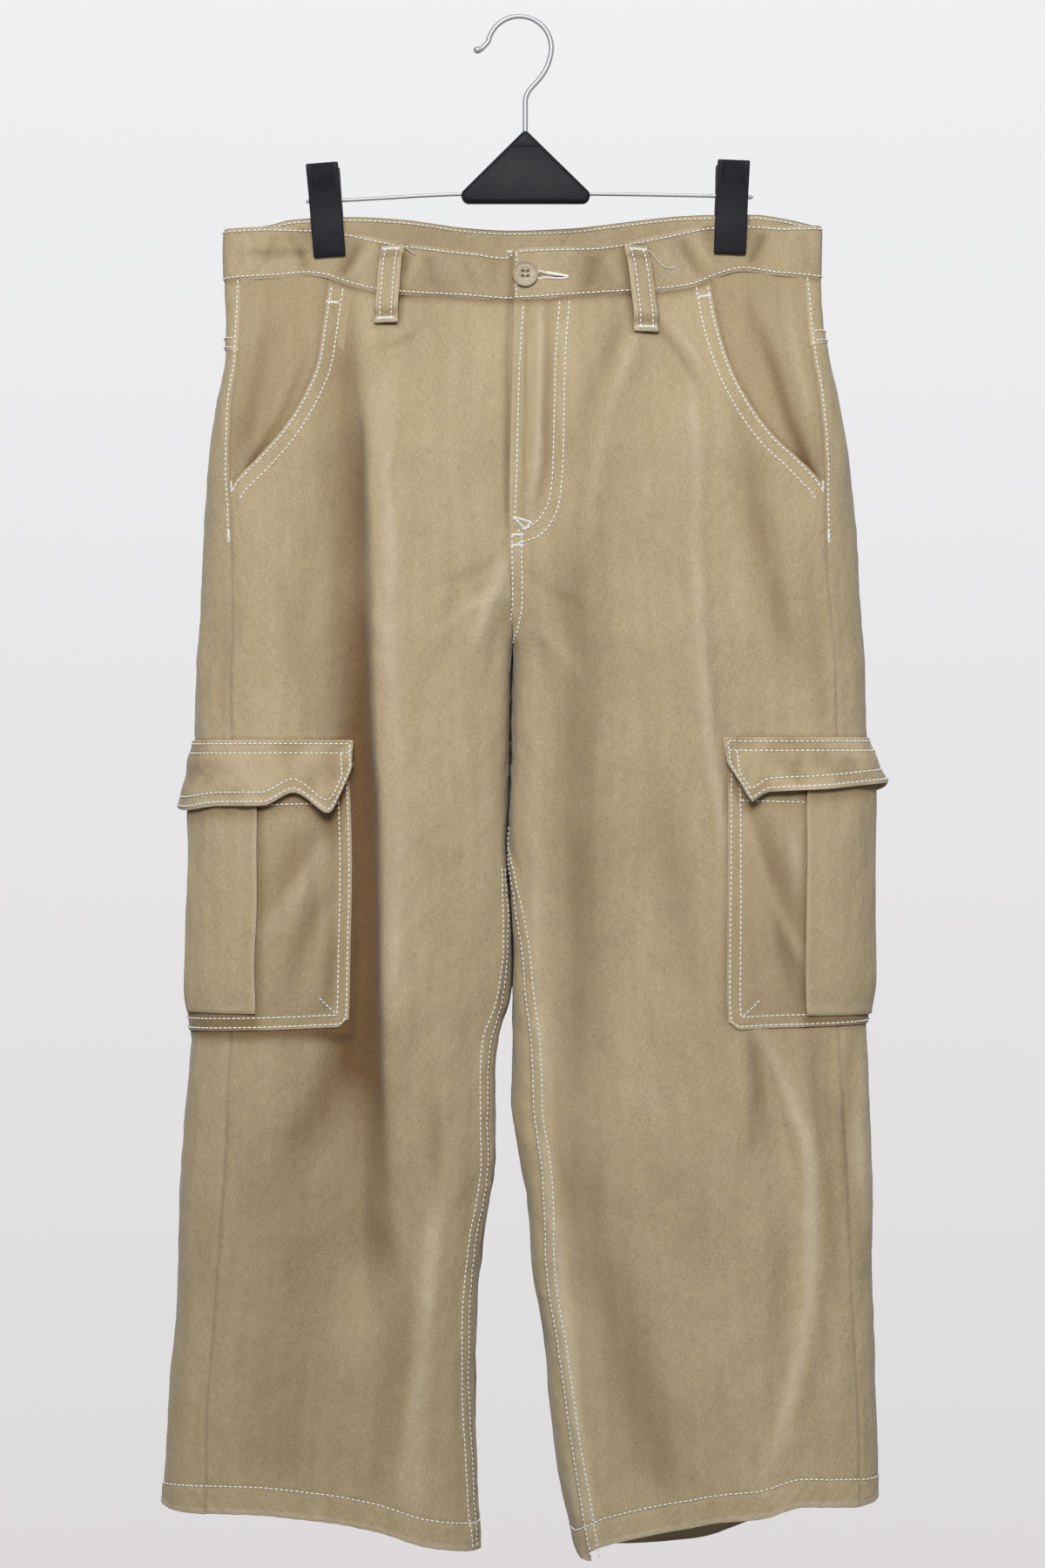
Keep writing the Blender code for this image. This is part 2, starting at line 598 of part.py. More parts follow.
def kept_off_centre(points, outward, thickness, drops, leg):
    """Outer and inner points of a panel, kept on its own side of the centre seam above the crotch."""
    outer = points + outward * thickness / 2.0
    inner = points - outward * thickness / 2.0
    centre = (leg_value("right", "inner", drops) + leg_value("left", "inner", drops)) / 2.0
    for layer in (outer, inner):
        over = (layer[..., 0] - centre) * inwards(leg) + SEAM_GAP / 2.0
        over = np.where(drops < CROTCH_DROP + 8.0, np.maximum(over, 0.0), 0.0)
        layer[..., 0] -= over * inwards(leg)
    return outer, inner


def panel_thickness(rows, columns):
    thickness = np.full((rows, columns), PANEL_WALL)
    thickness[-2:] = HEM_WALL
    return thickness[..., None]


def build_panels():
    for leg in LEGS:
        for face, first in (("front", 0), ("back", YOKE_ROW)):
            turns, drops = cloth_grid(leg, face, first)
            points, outward = cloth_at(leg, turns, drops)
            points = drawn_in(points, bottom=False)
            thickness = panel_thickness(*turns.shape)
            outer, inner = kept_off_centre(points, outward, thickness, drops, leg)
            closed_wall(f"{face}_panel_{leg}", outer, inner, "cloth")


def build_yokes():
    for leg in LEGS:
        turns, drops = cloth_grid(leg, "back", 0, YOKE_ROW)
        points, outward = cloth_at(leg, turns, drops)
        wall(f"back_yoke_{leg}", drawn_in(points), outward, PANEL_WALL, "cloth")


def build_pocket_facings():
    """The cloth that shows inside each front pocket mouth, just under the front panel."""
    columns, rows = FACING_GRID
    for leg in LEGS:
        side_drops = np.linspace(PANEL_ROWS[0][0], FACING_LOW, rows)
        turns = np.zeros((rows, columns))
        drops = np.zeros((rows, columns))
        for index, drop in enumerate(side_drops):
            mouth = line(POCKET_MOUTHS[leg], drop) + inwards(leg) * FACING_UNDERLAP
            start = side_seam_turn(leg, drop)
            turns[index] = np.linspace(start, turn_at(leg, mouth, drop), columns)
            drops[index] = drop
        x = surface(leg, turns[0], drops[0])[..., 0]
        drops[0] = line(BAND_LOW_FRONT, x) - FACING_TUCK
        points, outward = cloth_at(leg, turns, drops)
        points = drawn_in(points, top=False, bottom=False, end=False)
        wall(f"pocket_facing_{leg}", points, outward, FACING_WALL, "cloth_light", FACING_LIFT)


def band_columns():
    """The places round the waist, from the end under the button round the back to the end over it.

    Each is a leg, a face, an x and how far the band is moved out there.
    """
    places = []
    for x in UNDERLAP_COLUMNS:
        places.append(("left", "front", x, UNDERLAP_LIFT))
    for leg in ("right", "left"):
        front_turns, front_drops = cloth_grid(leg, "front", 0, 0)
        front_x = surface(leg, front_turns[0], front_drops[0])[:, 0]
        back_turns, back_drops = cloth_grid(leg, "back", 0, 0)
        back_x = surface(leg, back_turns[0], back_drops[0])[:, 0]
        side_turn = back_turns[0][0]
        mouth_turn = front_turns[0][0]
        between = np.linspace(side_turn, mouth_turn, WAIST_SIDE_COLUMNS + 2)[1:-1]
        between_x = surface(leg, between, np.full(len(between), WAIST_SEAM_DROP))[:, 0]
        around = [(leg, "front", x) for x in front_x[::-1]] + [(leg, "front", x) for x in between_x[::-1]]
        around += [(leg, "front" if turn >= 0 else "back", x) for turn, x in zip(back_turns[0], back_x)]
        if leg == "right":
            for row in around:
                ramp = ease((row[2] - UNDERLAP_RAMP[0]) / (UNDERLAP_RAMP[1] - UNDERLAP_RAMP[0]))
                lift = UNDERLAP_LIFT * float(ramp) if row[1] == "front" else 0.0
                places.append(row + (lift,))
        else:
            around = [row for row in around if row[1] == "back" or row[2] > OVERLAP_END + BAND_STEP]
            around.append(("left", "front", OVERLAP_END))
            around.sort(key=band_order)
            places += [row + (0.0,) for row in around[1:]]
    return places


def band_order(place):
    """Along the left half of the band, from the centre back to the centre front."""
    return place[2] if place[1] == "back" else 1000.0 - place[2]


def band_point(place, share):
    """A point of the band and its normal: share is 0 at the top edge and 1 at the seam."""
    leg, face, x, lift = place
    seam_in = leg_value(leg, "side_seam", WAIST_SEAM_DROP)
    seam_x = leg_value(leg, "side", WAIST_SEAM_DROP) + inwards(leg) * seam_in
    over_yoke = face == "back" or (x - seam_x) * inwards(leg) < 0.2
    top = line(BAND_TOP_FRONT if face == "front" else BAND_TOP_BACK, x)
    low = line(BAND_LOW_BACK if over_yoke else BAND_LOW_FRONT, x)
    if lift < 0.0:
        top = top + UNDERLAP_EASE[0] * lift / UNDERLAP_LIFT
        low = low - UNDERLAP_EASE[1]
    drop = float(top + (low - top) * share)
    turn = float(turn_at(leg, x, drop, face))
    return surface(leg, turn, drop) + normals(leg, turn, drop) * lift, normals(leg, turn, drop)


def build_waistband():
    """One long strip round the waist, its left end lying over its right end, with a buttonhole."""
    places = band_columns()
    points = np.array([[band_point(place, share)[0] for place in places] for share in BAND_SHARES])
    outward = np.array([[band_point(place, share)[1] for place in places] for share in BAND_SHARES])
    points = drawn_in(points, top=False, start=False, end=False, gap=BAND_SEAM_GAP)
    band = wall("waistband", points, outward, BAND_WALL, "cloth")
    cut_buttonhole(band)


def face_point(face, x, drop):
    """The front or the back of either leg at this x, and its normal."""
    centre = float(leg_value("right", "inner", drop))
    leg = "right" if x < centre else "left"
    turn = turn_at(leg, x, drop, face)
    return surface(leg, turn, drop), normals(leg, turn, drop)


def cut_buttonhole(band):
    middle = sum(BUTTONHOLE_FROM_TO) / 2.0
    point, outward = face_point("front", middle, BUTTONHOLE_DROP)
    bpy.ops.mesh.primitive_cube_add(size=1.0)
    cutter = bpy.context.object
    cutter.name = "buttonhole_cutter"
    length = BUTTONHOLE_FROM_TO[1] - BUTTONHOLE_FROM_TO[0]
    cutter.scale = (length * MM, BUTTONHOLE_DEPTH * MM, BUTTONHOLE_WIDTH * MM)
    cutter.location = Vector(point) * MM
    cutter.rotation_euler = (math.atan2(outward[2], -outward[1]), math.radians(BUTTONHOLE_LEAN), 0.0)
    cut(band, cutter)


def cut(target, cutter):
    cutter.hide_render = True
    cutter.display_type = "WIRE"
    modifier = target.modifiers.new("cut_" + cutter.name, "BOOLEAN")
    modifier.operation = "DIFFERENCE"
    modifier.object = cutter


def build_fly():
    """The zip and the shield behind it, which lie under the closed front."""
    columns, row_count = FLY_GRID
    drops = np.linspace(*FLY_DROPS, row_count)
    for name, from_to, lift, thickness, slot in (
        ("fly_zip", ZIP_FROM_TO, ZIP_LIFT, ZIP_WALL, "zip"),
        ("fly_shield", SHIELD_FROM_TO, SHIELD_LIFT, SHIELD_WALL, "cloth"),
    ):
        xs = np.linspace(*from_to, columns)
        rows = [[face_point("front", x, drop) for x in xs] for drop in drops]
        points = np.array([[p for p, _ in row] for row in rows])
        outward = np.array([[n for _, n in row] for row in rows])
        wall(name, points, outward, thickness, slot, lift)


def cargo_grid(leg, distances, drops):
    """Points of the cloth at these distances from the side seam, and their normals."""
    turns = np.array([turn_along(leg, drop, distance) for distance, drop in zip(distances.flat, drops.flat)])
    return cloth_at(leg, turns.reshape(drops.shape), drops)


def cargo_lift(size, distance, drop):
    """How far out the pocket's cloth lies: flat at its sewn edges and full in its middle."""
    across = ease((size["front_edge"] - distance) / CARGO_PUFF_IN)
    across = across * ease((distance - size["back_edge"]) / CARGO_PUFF_IN)
    up = ease((size["low_front"] - drop) / CARGO_PUFF_UP)
    down = CARGO_TOP_PUFF + (1.0 - CARGO_TOP_PUFF) * ease((drop - size["top"]) / CARGO_PUFF_DOWN)
    return CARGO_TOP_LIFT + CARGO_PUFF * across * up * down


def build_cargo_pockets():
    for leg in LEGS:
        size = dict(zip(CARGO_COLUMNS, CARGO[leg]))
        columns, rows = CARGO_GRID
        steps = np.linspace(size["front_edge"], size["back_edge"], columns)
        distances = np.tile(steps, (rows, 1))
        ends = (size["back_edge"], size["front_edge"])
        low = np.interp(steps, ends, (size["low_back"], size["low_front"]))
        corner = ease((ends[1] - steps) / CARGO_CORNER) * ease((steps - ends[0]) / CARGO_CORNER)
        low = low - CARGO_CORNER * (1.0 - corner)
        drops = size["top"] + (low - size["top"]) * np.linspace(0.0, 1.0, rows)[:, None]
        points, outward = cargo_grid(leg, distances, drops)
        lift = cargo_lift(size, distances, drops)
        wall(f"cargo_pocket_{leg}", points, outward, POCKET_WALL, "cloth_light", lift)
        first, last, last_row = (int(size[key]) for key in ("pleat_from", "pleat_to", "pleat_last_row"))
        strip = (slice(1, last_row + 1), slice(first, last + 1))
        over = lift[strip] + POCKET_WALL + LAID_GAP
        wall(f"cargo_pleat_{leg}", points[strip], outward[strip], POCKET_WALL, "cloth_light", over)
        build_cargo_flap(leg, size)


def build_cargo_flap(leg, size):
    """The flap over the pocket's mouth, sewn along its top, with its wavy lower edge curling out."""
    top = FLAP_TOPS[leg]
    edge = FLAP_EDGES[leg]
    steps = np.linspace(edge[-1][0], edge[0][0], FLAP_COLUMNS)
    low = line(edge, steps)
    curl = through([point[0] for point in edge], [point[2] for point in edge], steps)
    shares = np.array(FLAP_SHARES)[:, None]
    drops = top + (low - top) * shares
    distances = np.tile(steps, (len(FLAP_SHARES), 1))
    points, outward = cargo_grid(leg, distances, drops)
    seat = (PANEL_WALL + FLAP_WALL) / 2 + FLAP_SEAT
    over = cargo_lift(size, distances, np.maximum(drops, size["top"])) + (POCKET_WALL + FLAP_WALL) / 2
    over = over + 2 * LAID_GAP + (POCKET_WALL + LAID_GAP) * (drops > size["top"] + FLAP_OVER_PLEAT)
    lift = seat + (over - seat) * ease((drops - top - 2.0) / (size["top"] - top - 4.0))
    lift = lift + curl * shares**2
    wall(f"cargo_flap_{leg}", points, outward, FLAP_WALL, "cloth_light", lift)


def build_belt_loops():
    """Each loop is a strip sewn down at both ends and standing clear of the waistband between."""
    shares = np.linspace(0.0, 1.0, LOOP_ROWS)
    arch = ease(shares / LOOP_FEET[0]) * ease((1.0 - shares) / LOOP_FEET[1])
    seat = (BAND_WALL + LOOP_WALL) / 2 + 2 * LAID_GAP
    for values in LOOPS:
        loop = dict(zip(LOOP_COLUMNS, values))
        grid = []
        for share in shares:
            x = loop["x_top"] + (loop["x_low"] - loop["x_top"]) * share
            drop = loop["drop_top"] + (loop["drop_low"] - loop["drop_top"]) * share
            grid.append([face_point(loop["face"], x + side * LOOP_WIDTH / 2, drop) for side in (-1, 0, 1)])
        points = np.array([[p for p, _ in row] for row in grid])
        outward = np.array([[n for _, n in row] for row in grid])
        lift = seat + LOOP_STANDOFF * arch
        wall(f"belt_loop_{loop['name']}", points, outward, LOOP_WALL, "cloth", lift[:, None])


def build_button():
    """A four-hole button, its rim standing a little over its middle."""
    point, outward = face_point("front", *BUTTON_AT)
    radius = BUTTON_DIAMETER / 2.0
    inside = radius - BUTTON_RIM
    dish = BUTTON_THICKNESS - BUTTON_DISH
    profile = (
        (0.0, 0.0), (radius - 2.4, 0.0), (radius - 0.5, 0.9), (radius, 1.7), (radius - 0.6, BUTTON_THICKNESS),
        (inside, BUTTON_THICKNESS), (inside - 0.9, dish), (0.0, dish),
    )
    mesh = bmesh.new()
    verts = [mesh.verts.new((r * MM, 0.0, h * MM)) for r, h in profile]
    edges = [mesh.edges.new(pair) for pair in zip(verts, verts[1:])]
    bmesh.ops.spin(
        mesh, geom=verts + edges, cent=(0, 0, 0), axis=(0, 0, 1), angle=math.tau, steps=BUTTON_STEPS,
    )
    bmesh.ops.remove_doubles(mesh, verts=mesh.verts, dist=1e-6)
    bmesh.ops.recalc_face_normals(mesh, faces=mesh.faces)
    button = to_object("button", mesh, "button")
    seat = BAND_WALL / 2 + LAID_GAP
    turned = Vector(outward).to_track_quat("Z", "Y").to_matrix().to_4x4()
    placed = Matrix.Translation(Vector(point + outward * seat) * MM) @ turned
    button.matrix_world = placed
    for index in range(4):
        angle = math.tau * (index + 0.5) / 4
        bpy.ops.mesh.primitive_cylinder_add(vertices=8, radius=BUTTON_HOLE / 2 * MM, depth=12 * MM)
        cutter = bpy.context.object
        cutter.name = f"button_hole_cutter_{index}"
        offset = Vector((math.cos(angle), math.sin(angle), 0.0)) * BUTTON_HOLE_RING * MM
        cutter.matrix_world = placed @ Matrix.Translation(offset)
        cut(button, cutter)


def wire(name, points, diameter, radii=None, resolution=2):
    curve = bpy.data.curves.new(name, "CURVE")
    curve.dimensions = "3D"
    curve.bevel_depth = diameter / 2 * MM
    curve.bevel_resolution = resolution
    curve.use_fill_caps = True
    spline = curve.splines.new("POLY")
    spline.points.add(len(points) - 1)
    for index, (x, drop) in enumerate(points):
        spline.points[index].co = (x * MM, 0.0, -drop * MM, 1.0)
        spline.points[index].radius = radii[index] if radii else 1.0
    curve.materials.append(material("wire"))
    obj = bpy.data.objects.new(name, curve)
    bpy.context.scene.collection.objects.link(obj)
    return obj


def hook_points():
    """The tip's small outward curl, the round crown, and the bend down into the stem."""
    centre_drop = HOOK_RADIUS - HOOK_WIRE / 2
    points = [point[:2] for point in HOOK_TIP]
    for degrees in np.linspace(HOOK_TIP_ANGLE, HOOK_BEND_ANGLE, HOOK_CROWN_POINTS):
        angle = math.radians(degrees)
        points.append((HOOK_RADIUS * math.cos(angle), centre_drop - HOOK_RADIUS * math.sin(angle)))
    return points + list(HOOK_RETURN) + [(STEM_X, STEM_LOW)]


def build_hanger():
    points = hook_points()
    radii = [point[2] for point in HOOK_TIP] + [1.0] * (len(points) - len(HOOK_TIP))
    wire("hanger_hook", points, HOOK_WIRE, radii)
    wire("hanger_bar", BAR_POINTS, BAR_WIRE)
    build_block()
    for row in CLIPS:
        clip = dict(zip(CLIP_COLUMNS, row))
        for face, sign in (("front", 1.0), ("back", -1.0)):
            build_jaw(f"clip_{clip['name']}_{face}", clip, sign)


def build_block():
    mesh = bmesh.new()
    verts = [mesh.verts.new((x * MM, -BLOCK_DEPTH / 2 * MM, -drop * MM)) for x, drop in BLOCK_OUTLINE]
    face = mesh.faces.new(verts)
    pushed = bmesh.ops.extrude_face_region(mesh, geom=[face])
    moved = [v for v in pushed["geom"] if isinstance(v, bmesh.types.BMVert)]
    bmesh.ops.translate(mesh, verts=moved, vec=(0, BLOCK_DEPTH * MM, 0))
    upright = [e for e in mesh.edges if abs(e.verts[0].co.y - e.verts[1].co.y) > 0.001]
    bmesh.ops.bevel(mesh, geom=upright, offset=BLOCK_CORNER * MM, segments=3, affect="EDGES", profile=0.5)
    rims = [e for e in mesh.edges if abs(e.verts[0].co.y - e.verts[1].co.y) < 1e-6]
    bmesh.ops.bevel(mesh, geom=rims, offset=0.9 * MM, segments=2, affect="EDGES", profile=0.5)
    bmesh.ops.recalc_face_normals(mesh, faces=mesh.faces)
    block = to_object("hanger_block", mesh, "plastic")
    stem_end = STEM_LOW + WIRE_CLEARANCE
    stem_middle = (STEM_X, 0.0, -(STEM_TOP + stem_end) / 2)
    cut(block, bore("stem_cutter", HOOK_WIRE, stem_middle, stem_end - STEM_TOP, 0.0))
    for index in (2, 3):
        (x0, d0), (x1, d1) = BAR_POINTS[index], BAR_POINTS[index + 1]
        lean = math.atan2(d1 - d0, x1 - x0)
        centre = ((x0 + x1) / 2, 0.0, -(d0 + d1) / 2)
        length = math.hypot(x1 - x0, d1 - d0) + BORE_OVERRUN
        cut(block, bore(f"bar_cutter_{index}", BAR_WIRE, centre, length, math.pi / 2 + lean))


def bore(name, diameter, centre, length, turn_y):
    radius = diameter / 2 + WIRE_CLEARANCE
    bpy.ops.mesh.primitive_cylinder_add(vertices=16, radius=radius * MM, depth=length * MM)
    cutter = bpy.context.object
    cutter.name = name
    cutter.location = Vector(centre) * MM
    cutter.rotation_euler = (0.0, turn_y, 0.0)
    return cutter


def build_jaw(name, clip, sign):
    """One jaw of a clip: its side view pushed across and its edges rounded."""
    mesh = bmesh.new()
    verts = [mesh.verts.new((-JAW_WIDTH / 2 * MM, sign * y * MM, -down * MM)) for y, down in JAW_PROFILE]
    face = mesh.faces.new(verts)
    pushed = bmesh.ops.extrude_face_region(mesh, geom=[face])
    moved = [v for v in pushed["geom"] if isinstance(v, bmesh.types.BMVert)]
    bmesh.ops.translate(mesh, verts=moved, vec=(JAW_WIDTH * MM, 0, 0))
    bmesh.ops.recalc_face_normals(mesh, faces=mesh.faces)
    jaw = to_object(name, mesh, "plastic", 30.0)
    bevel = jaw.modifiers.new("rounded", "BEVEL")
    bevel.width = 0.9 * MM
    bevel.segments = 2
    bevel.angle_limit = math.radians(50)
    jaw.location = (clip["x"] * MM, 0.0, -clip["top_drop"] * MM)
    jaw.rotation_euler = (0.0, math.radians(clip["lean_degrees"]), 0.0)


def main():
    clear_scene()
    build_panels()
    build_yokes()
    build_pocket_facings()
    build_waistband()
    build_fly()
    build_cargo_pockets()
    build_belt_loops()
    build_button()
    build_hanger()


if __name__ == "__main__":
    main()
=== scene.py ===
"""Wide-leg cargo jeans on a clip hanger: cloth, sewing, fastenings, hanger and studio.

Sizes are in millimetres unless a name says otherwise. "drop" is the distance below the underside of
the hanger's hook, which is the origin. x runs to the wearer's left and y to the back.

Each leg is a ring of cloth. "turn" goes round it: -1 is its inner edge, the back lies between -1
and 0, 0 is the outline at the side, the front lies between 0 and 1, and 1 is the inner edge again.
"along" is the distance along the cloth from the side seam, and grows towards the front.
"""

import math

import bmesh
import bpy
import numpy as np
from bpy.props import FloatProperty, FloatVectorProperty, IntProperty, PointerProperty
from mathutils import Matrix, Vector


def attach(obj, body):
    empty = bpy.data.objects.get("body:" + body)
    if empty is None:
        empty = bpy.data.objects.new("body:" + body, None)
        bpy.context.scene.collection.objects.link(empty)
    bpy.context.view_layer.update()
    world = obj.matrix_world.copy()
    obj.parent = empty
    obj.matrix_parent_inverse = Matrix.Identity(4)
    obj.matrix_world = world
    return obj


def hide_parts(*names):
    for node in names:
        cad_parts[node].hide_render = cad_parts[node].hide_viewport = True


bl_info = {
    "name": "Cargo Jeans on a Clip Hanger",
    "version": (1, 0, 0),
    "blender": (4, 5, 0),
    "location": "View3D > Sidebar > Jeans",
    "description": "Builds hanging wide-leg cargo jeans with their sewing, hanger and studio",
    "category": "Add Mesh",
}

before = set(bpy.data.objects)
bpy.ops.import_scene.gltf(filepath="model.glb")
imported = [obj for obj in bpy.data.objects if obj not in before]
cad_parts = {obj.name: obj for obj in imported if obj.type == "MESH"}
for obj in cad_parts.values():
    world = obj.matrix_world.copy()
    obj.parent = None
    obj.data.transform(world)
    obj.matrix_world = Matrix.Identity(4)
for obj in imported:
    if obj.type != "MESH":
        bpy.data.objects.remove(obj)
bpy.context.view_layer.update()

MM = 0.001
BODY = "root"


def named(columns, rows):
    return [dict(zip(columns, row)) for row in rows]


# How the rings are rounded: 2 is an ellipse, more is boxier
ROUNDNESS = 3.0
INNER_ROUNDNESS = 4.0
CROTCH_DROP = 442.0

LEG_COLUMNS = ("drop", "side", "inner", "front", "back", "side_seam", "inseam")

# side and inner are the x of the two outlines, front and back the depth of the ring, and the seams
# lie this far in from the outline.
LEGS = {
    "right": (
        (130, -203.0, -4.0, 29, 29, 12, 0), (165, -203.4, -3.8, 32, 31, 12, 0),
        (200, -202.0, -3.6, 34, 34, 10, 0), (230, -202.2, -4.2, 37, 37, 9, 0),
        (265, -208.0, -5.2, 39, 41, 11, 0), (310, -213.3, -6.2, 41, 44, 15, 0),
        (360, -216.3, -6.6, 42, 45, 20, 0), (400, -217.8, -5.6, 42, 45, 22, 0),
        (424, -219.4, -4.6, 42, 45, 24, 0), (442, -221.0, -4.4, 42, 44, 25, 0),
        (456, -221.4, -5.4, 42, 44, 25, 0), (500, -222.5, -6.0, 42, 43, 27, 0),
        (570, -222.0, -8.2, 42, 41, 29, 1), (645, -224.0, -5.2, 42, 40, 30, 2),
        (672, -224.5, -6.8, 42, 40, 30, 3), (700, -225.8, -14.5, 41, 40, 30, 4),
        (725, -227.6, -17.4, 41, 40, 30, 4), (780, -231.0, -17.2, 41, 40, 31, 4),
        (847, -233.6, -26.8, 40, 40, 30, 4), (885, -235.2, -30.0, 40, 40, 28, 4),
        (950, -240.3, -31.4, 39, 40, 28, 3), (1007, -244.5, -30.0, 39, 40, 31, 2),
        (1060, -246.6, -27.0, 39, 40, 33, 1),
    ),
    "left": (
        (130, 207.0, -4.0, 29, 29, 12, 0), (165, 207.2, -3.8, 32, 31, 12, 0),
        (200, 208.0, -3.6, 34, 34, 10, 0), (230, 213.0, -4.2, 37, 37, 12, 0),
        (265, 219.0, -5.2, 39, 41, 13, 0), (310, 226.4, -6.2, 41, 44, 18, 0),
        (360, 230.7, -6.6, 42, 45, 22, 0), (400, 232.8, -5.6, 42, 45, 22, 0),
        (424, 235.2, -4.6, 42, 45, 22, 0), (442, 237.2, -3.6, 41, 44, 22, 0),
        (456, 237.5, -3.9, 40, 43, 22, 0), (500, 238.4, -4.2, 37, 39, 22, 0),
        (570, 238.0, -6.3, 35, 36, 22, 0), (645, 237.6, -3.5, 35, 35, 22, 5),
        (672, 237.6, -4.8, 35, 35, 22, 8), (700, 238.6, -4.2, 35, 35, 21, 11),
        (745, 240.4, -4.8, 36, 36, 20, 13), (779, 241.0, 0.0, 37, 37, 18, 13),
        (815, 241.4, 6.4, 37, 38, 17, 10), (863, 241.8, 10.4, 38, 38, 16, 8),
        (911, 243.8, 18.6, 39, 39, 15, 8), (959, 245.2, 22.6, 40, 40, 14, 10),
        (1007, 245.8, 29.4, 40, 42, 14, 11), (1060, 245.4, 41.0, 40, 42, 14, 8),
    ),
}
# The share of the depth kept at the centre seam, as drop and share
RISE = {
    "front": ((265, 1.0), (310, 1.0), (360, 0.97), (400, 0.84), (424, 0.55), (442, 0.0), (456, 0.0)),
    "back": ((265, 1.0), (310, 1.0), (360, 1.0), (400, 0.92), (424, 0.66), (442, 0.0), (456, 0.0)),
}

# The clips press the waist flat: here, this strongly, easing off this far below the band
CLIP_X = {"right": -131.0, "left": 146.0}
CLIP_HALF = 17.0
CLIP_SQUEEZE = 0.938
CLIP_REACH_IN = 92.0
CLIP_REACH_OUT = 150.0
CLIP_EASE_FROM = 157.0
CLIP_EASE_TO = 305.0

FOLD_COLUMNS = (
    "leg", "face", "depth", "steep", "gentle", "hollow", "fade",
    "x_top", "drop_top", "x_middle", "drop_middle", "x_low", "drop_low",
)
# A fold runs down its path. Its steep flank starts at the path and falls towards the hollow side
# (-1 is -x), and its gentle flank rises again. A negative depth stands out as a ridge.
FOLDS = named(FOLD_COLUMNS, (
    ("right", "front", 13.0, 20, 70, -1, 90, -106, 228, -95, 450, -87, 930),
    ("right", "front", -5.0, 24, 34, 1, 90, -74, 700, -82, 860, -70, 1010),
    ("right", "front", 3.2, 9, 16, -1, 28, -22, 372, -32, 410, -46, 470),
    ("right", "front", 3.0, 16, 30, 1, 60, -60, 560, -50, 640, -34, 760),
    ("left", "front", 7.0, 26, 52, 1, 110, 98, 250, 134, 560, 170, 960),
    ("left", "front", 5.0, 34, 40, 1, 100, 46, 330, 40, 560, 56, 760),
    ("left", "front", 3.0, 10, 18, -1, 30, 86, 205, 66, 262, 44, 330),
    ("left", "front", 3.4, 9, 13, -1, 24, 171, 696, 182, 745, 196, 800),
    ("left", "front", 3.0, 8, 12, 1, 24, 198, 694, 198, 740, 200, 790),
    ("left", "front", 5.0, 22, 40, 1, 90, 172, 790, 164, 890, 150, 1020),
    ("left", "front", -4.0, 30, 34, 1, 60, 90, 900, 84, 980, 78, 1060),
    ("right", "back", 7.0, 34, 52, -1, 110, -84, 290, -92, 520, -98, 900),
    ("right", "back", 4.0, 18, 30, 1, 70, -70, 560, -58, 680, -50, 800),
    ("left", "back", 6.5, 34, 48, 1, 110, 88, 300, 104, 540, 118, 920),
    ("left", "back", 4.0, 18, 30, -1, 70, 74, 560, 66, 680, 62, 800),
))

# Lines across the cloth, as x and drop
BAND_TOP_FRONT = (
    (-203, 146), (-171, 144.5), (-146, 145), (-121, 147.5), (-92, 154), (-37, 165), (-9, 168), (-4, 165),
    (6, 163.2), (48, 162), (71, 158), (99, 150.5), (133, 143), (157, 142.5), (183, 144), (207, 143.5),
)
BAND_TOP_BACK = (
    (-203, 146), (-173, 142.5), (-158, 139), (-123, 137), (-81, 137.5), (-38, 140.5), (-4, 142), (27, 141),
    (70, 138), (113, 136), (161, 135.5), (182, 138), (207, 143.5),
)
BAND_LOW_FRONT = (
    (-203, 181.5), (-166, 179), (-146, 177), (-134, 178.5), (-118, 184), (-97, 189.5), (-57, 194.5),
    (-4, 198.5), (37, 196), (74, 192.5), (118, 186), (138, 177.5), (154, 174), (177, 177), (207, 180),
)
BAND_LOW_BACK = (
    (-203, 181.5), (-160, 177.5), (-81, 176.5), (-4, 181), (70, 177), (161, 174.5), (207, 180),
)
YOKE_LOW = ((-203, 229), (-110, 247), (-4, 268), (110, 244), (212, 224))
HEM_LINES = {
    ("right", "front"): (
        (-246, 1024), (-233, 1023), (-190, 1022), (-140, 1026), (-100, 1033), (-62, 1045), (-28, 1050),
    ),
    ("right", "back"): (
        (-246, 1019), (-233, 1022), (-213, 1022.8), (-190, 1026), (-120, 1038), (-62, 1047), (-28, 1050),
    ),
    ("left", "front"): (
        (38, 1054), (58, 1044), (80, 1038), (131, 1028), (163, 1025), (194, 1017), (217, 1018), (246, 1020),
    ),
    ("left", "back"): (
        (38, 1054), (76, 1058), (120, 1055), (180, 1035), (215, 1021), (231, 1019), (246, 1016),
    ),
}

# The front pocket mouths, as drop and x
POCKET_MOUTHS = {
    "right": ((185, -131), (208, -134), (239, -138), (265, -148), (285, -160), (305, -177), (320, -192)),
    "left": ((185, 131), (214, 136), (245, 145), (269, 157), (290, 172), (305, 188), (320, 203)),
}

# Cargo pockets: distances are along the cloth from the side seam, + to the front
CARGO_COLUMNS = ("front_edge", "back_edge", "top", "low_front", "low_back", "pleat_from", "pleat_to")
CARGO = dict(zip(("right", "left"), named(CARGO_COLUMNS, (
    (80.0, -95.0, 512.0, 692.0, 697.0, 8, 14),
    (76.0, -99.0, 510.0, 694.0, 688.0, 7, 13),
))))
# A pocket is this many steps wide, and its pleat starts and ends at steps
CARGO_STEPS = 22
CARGO_PUFF = 4.0

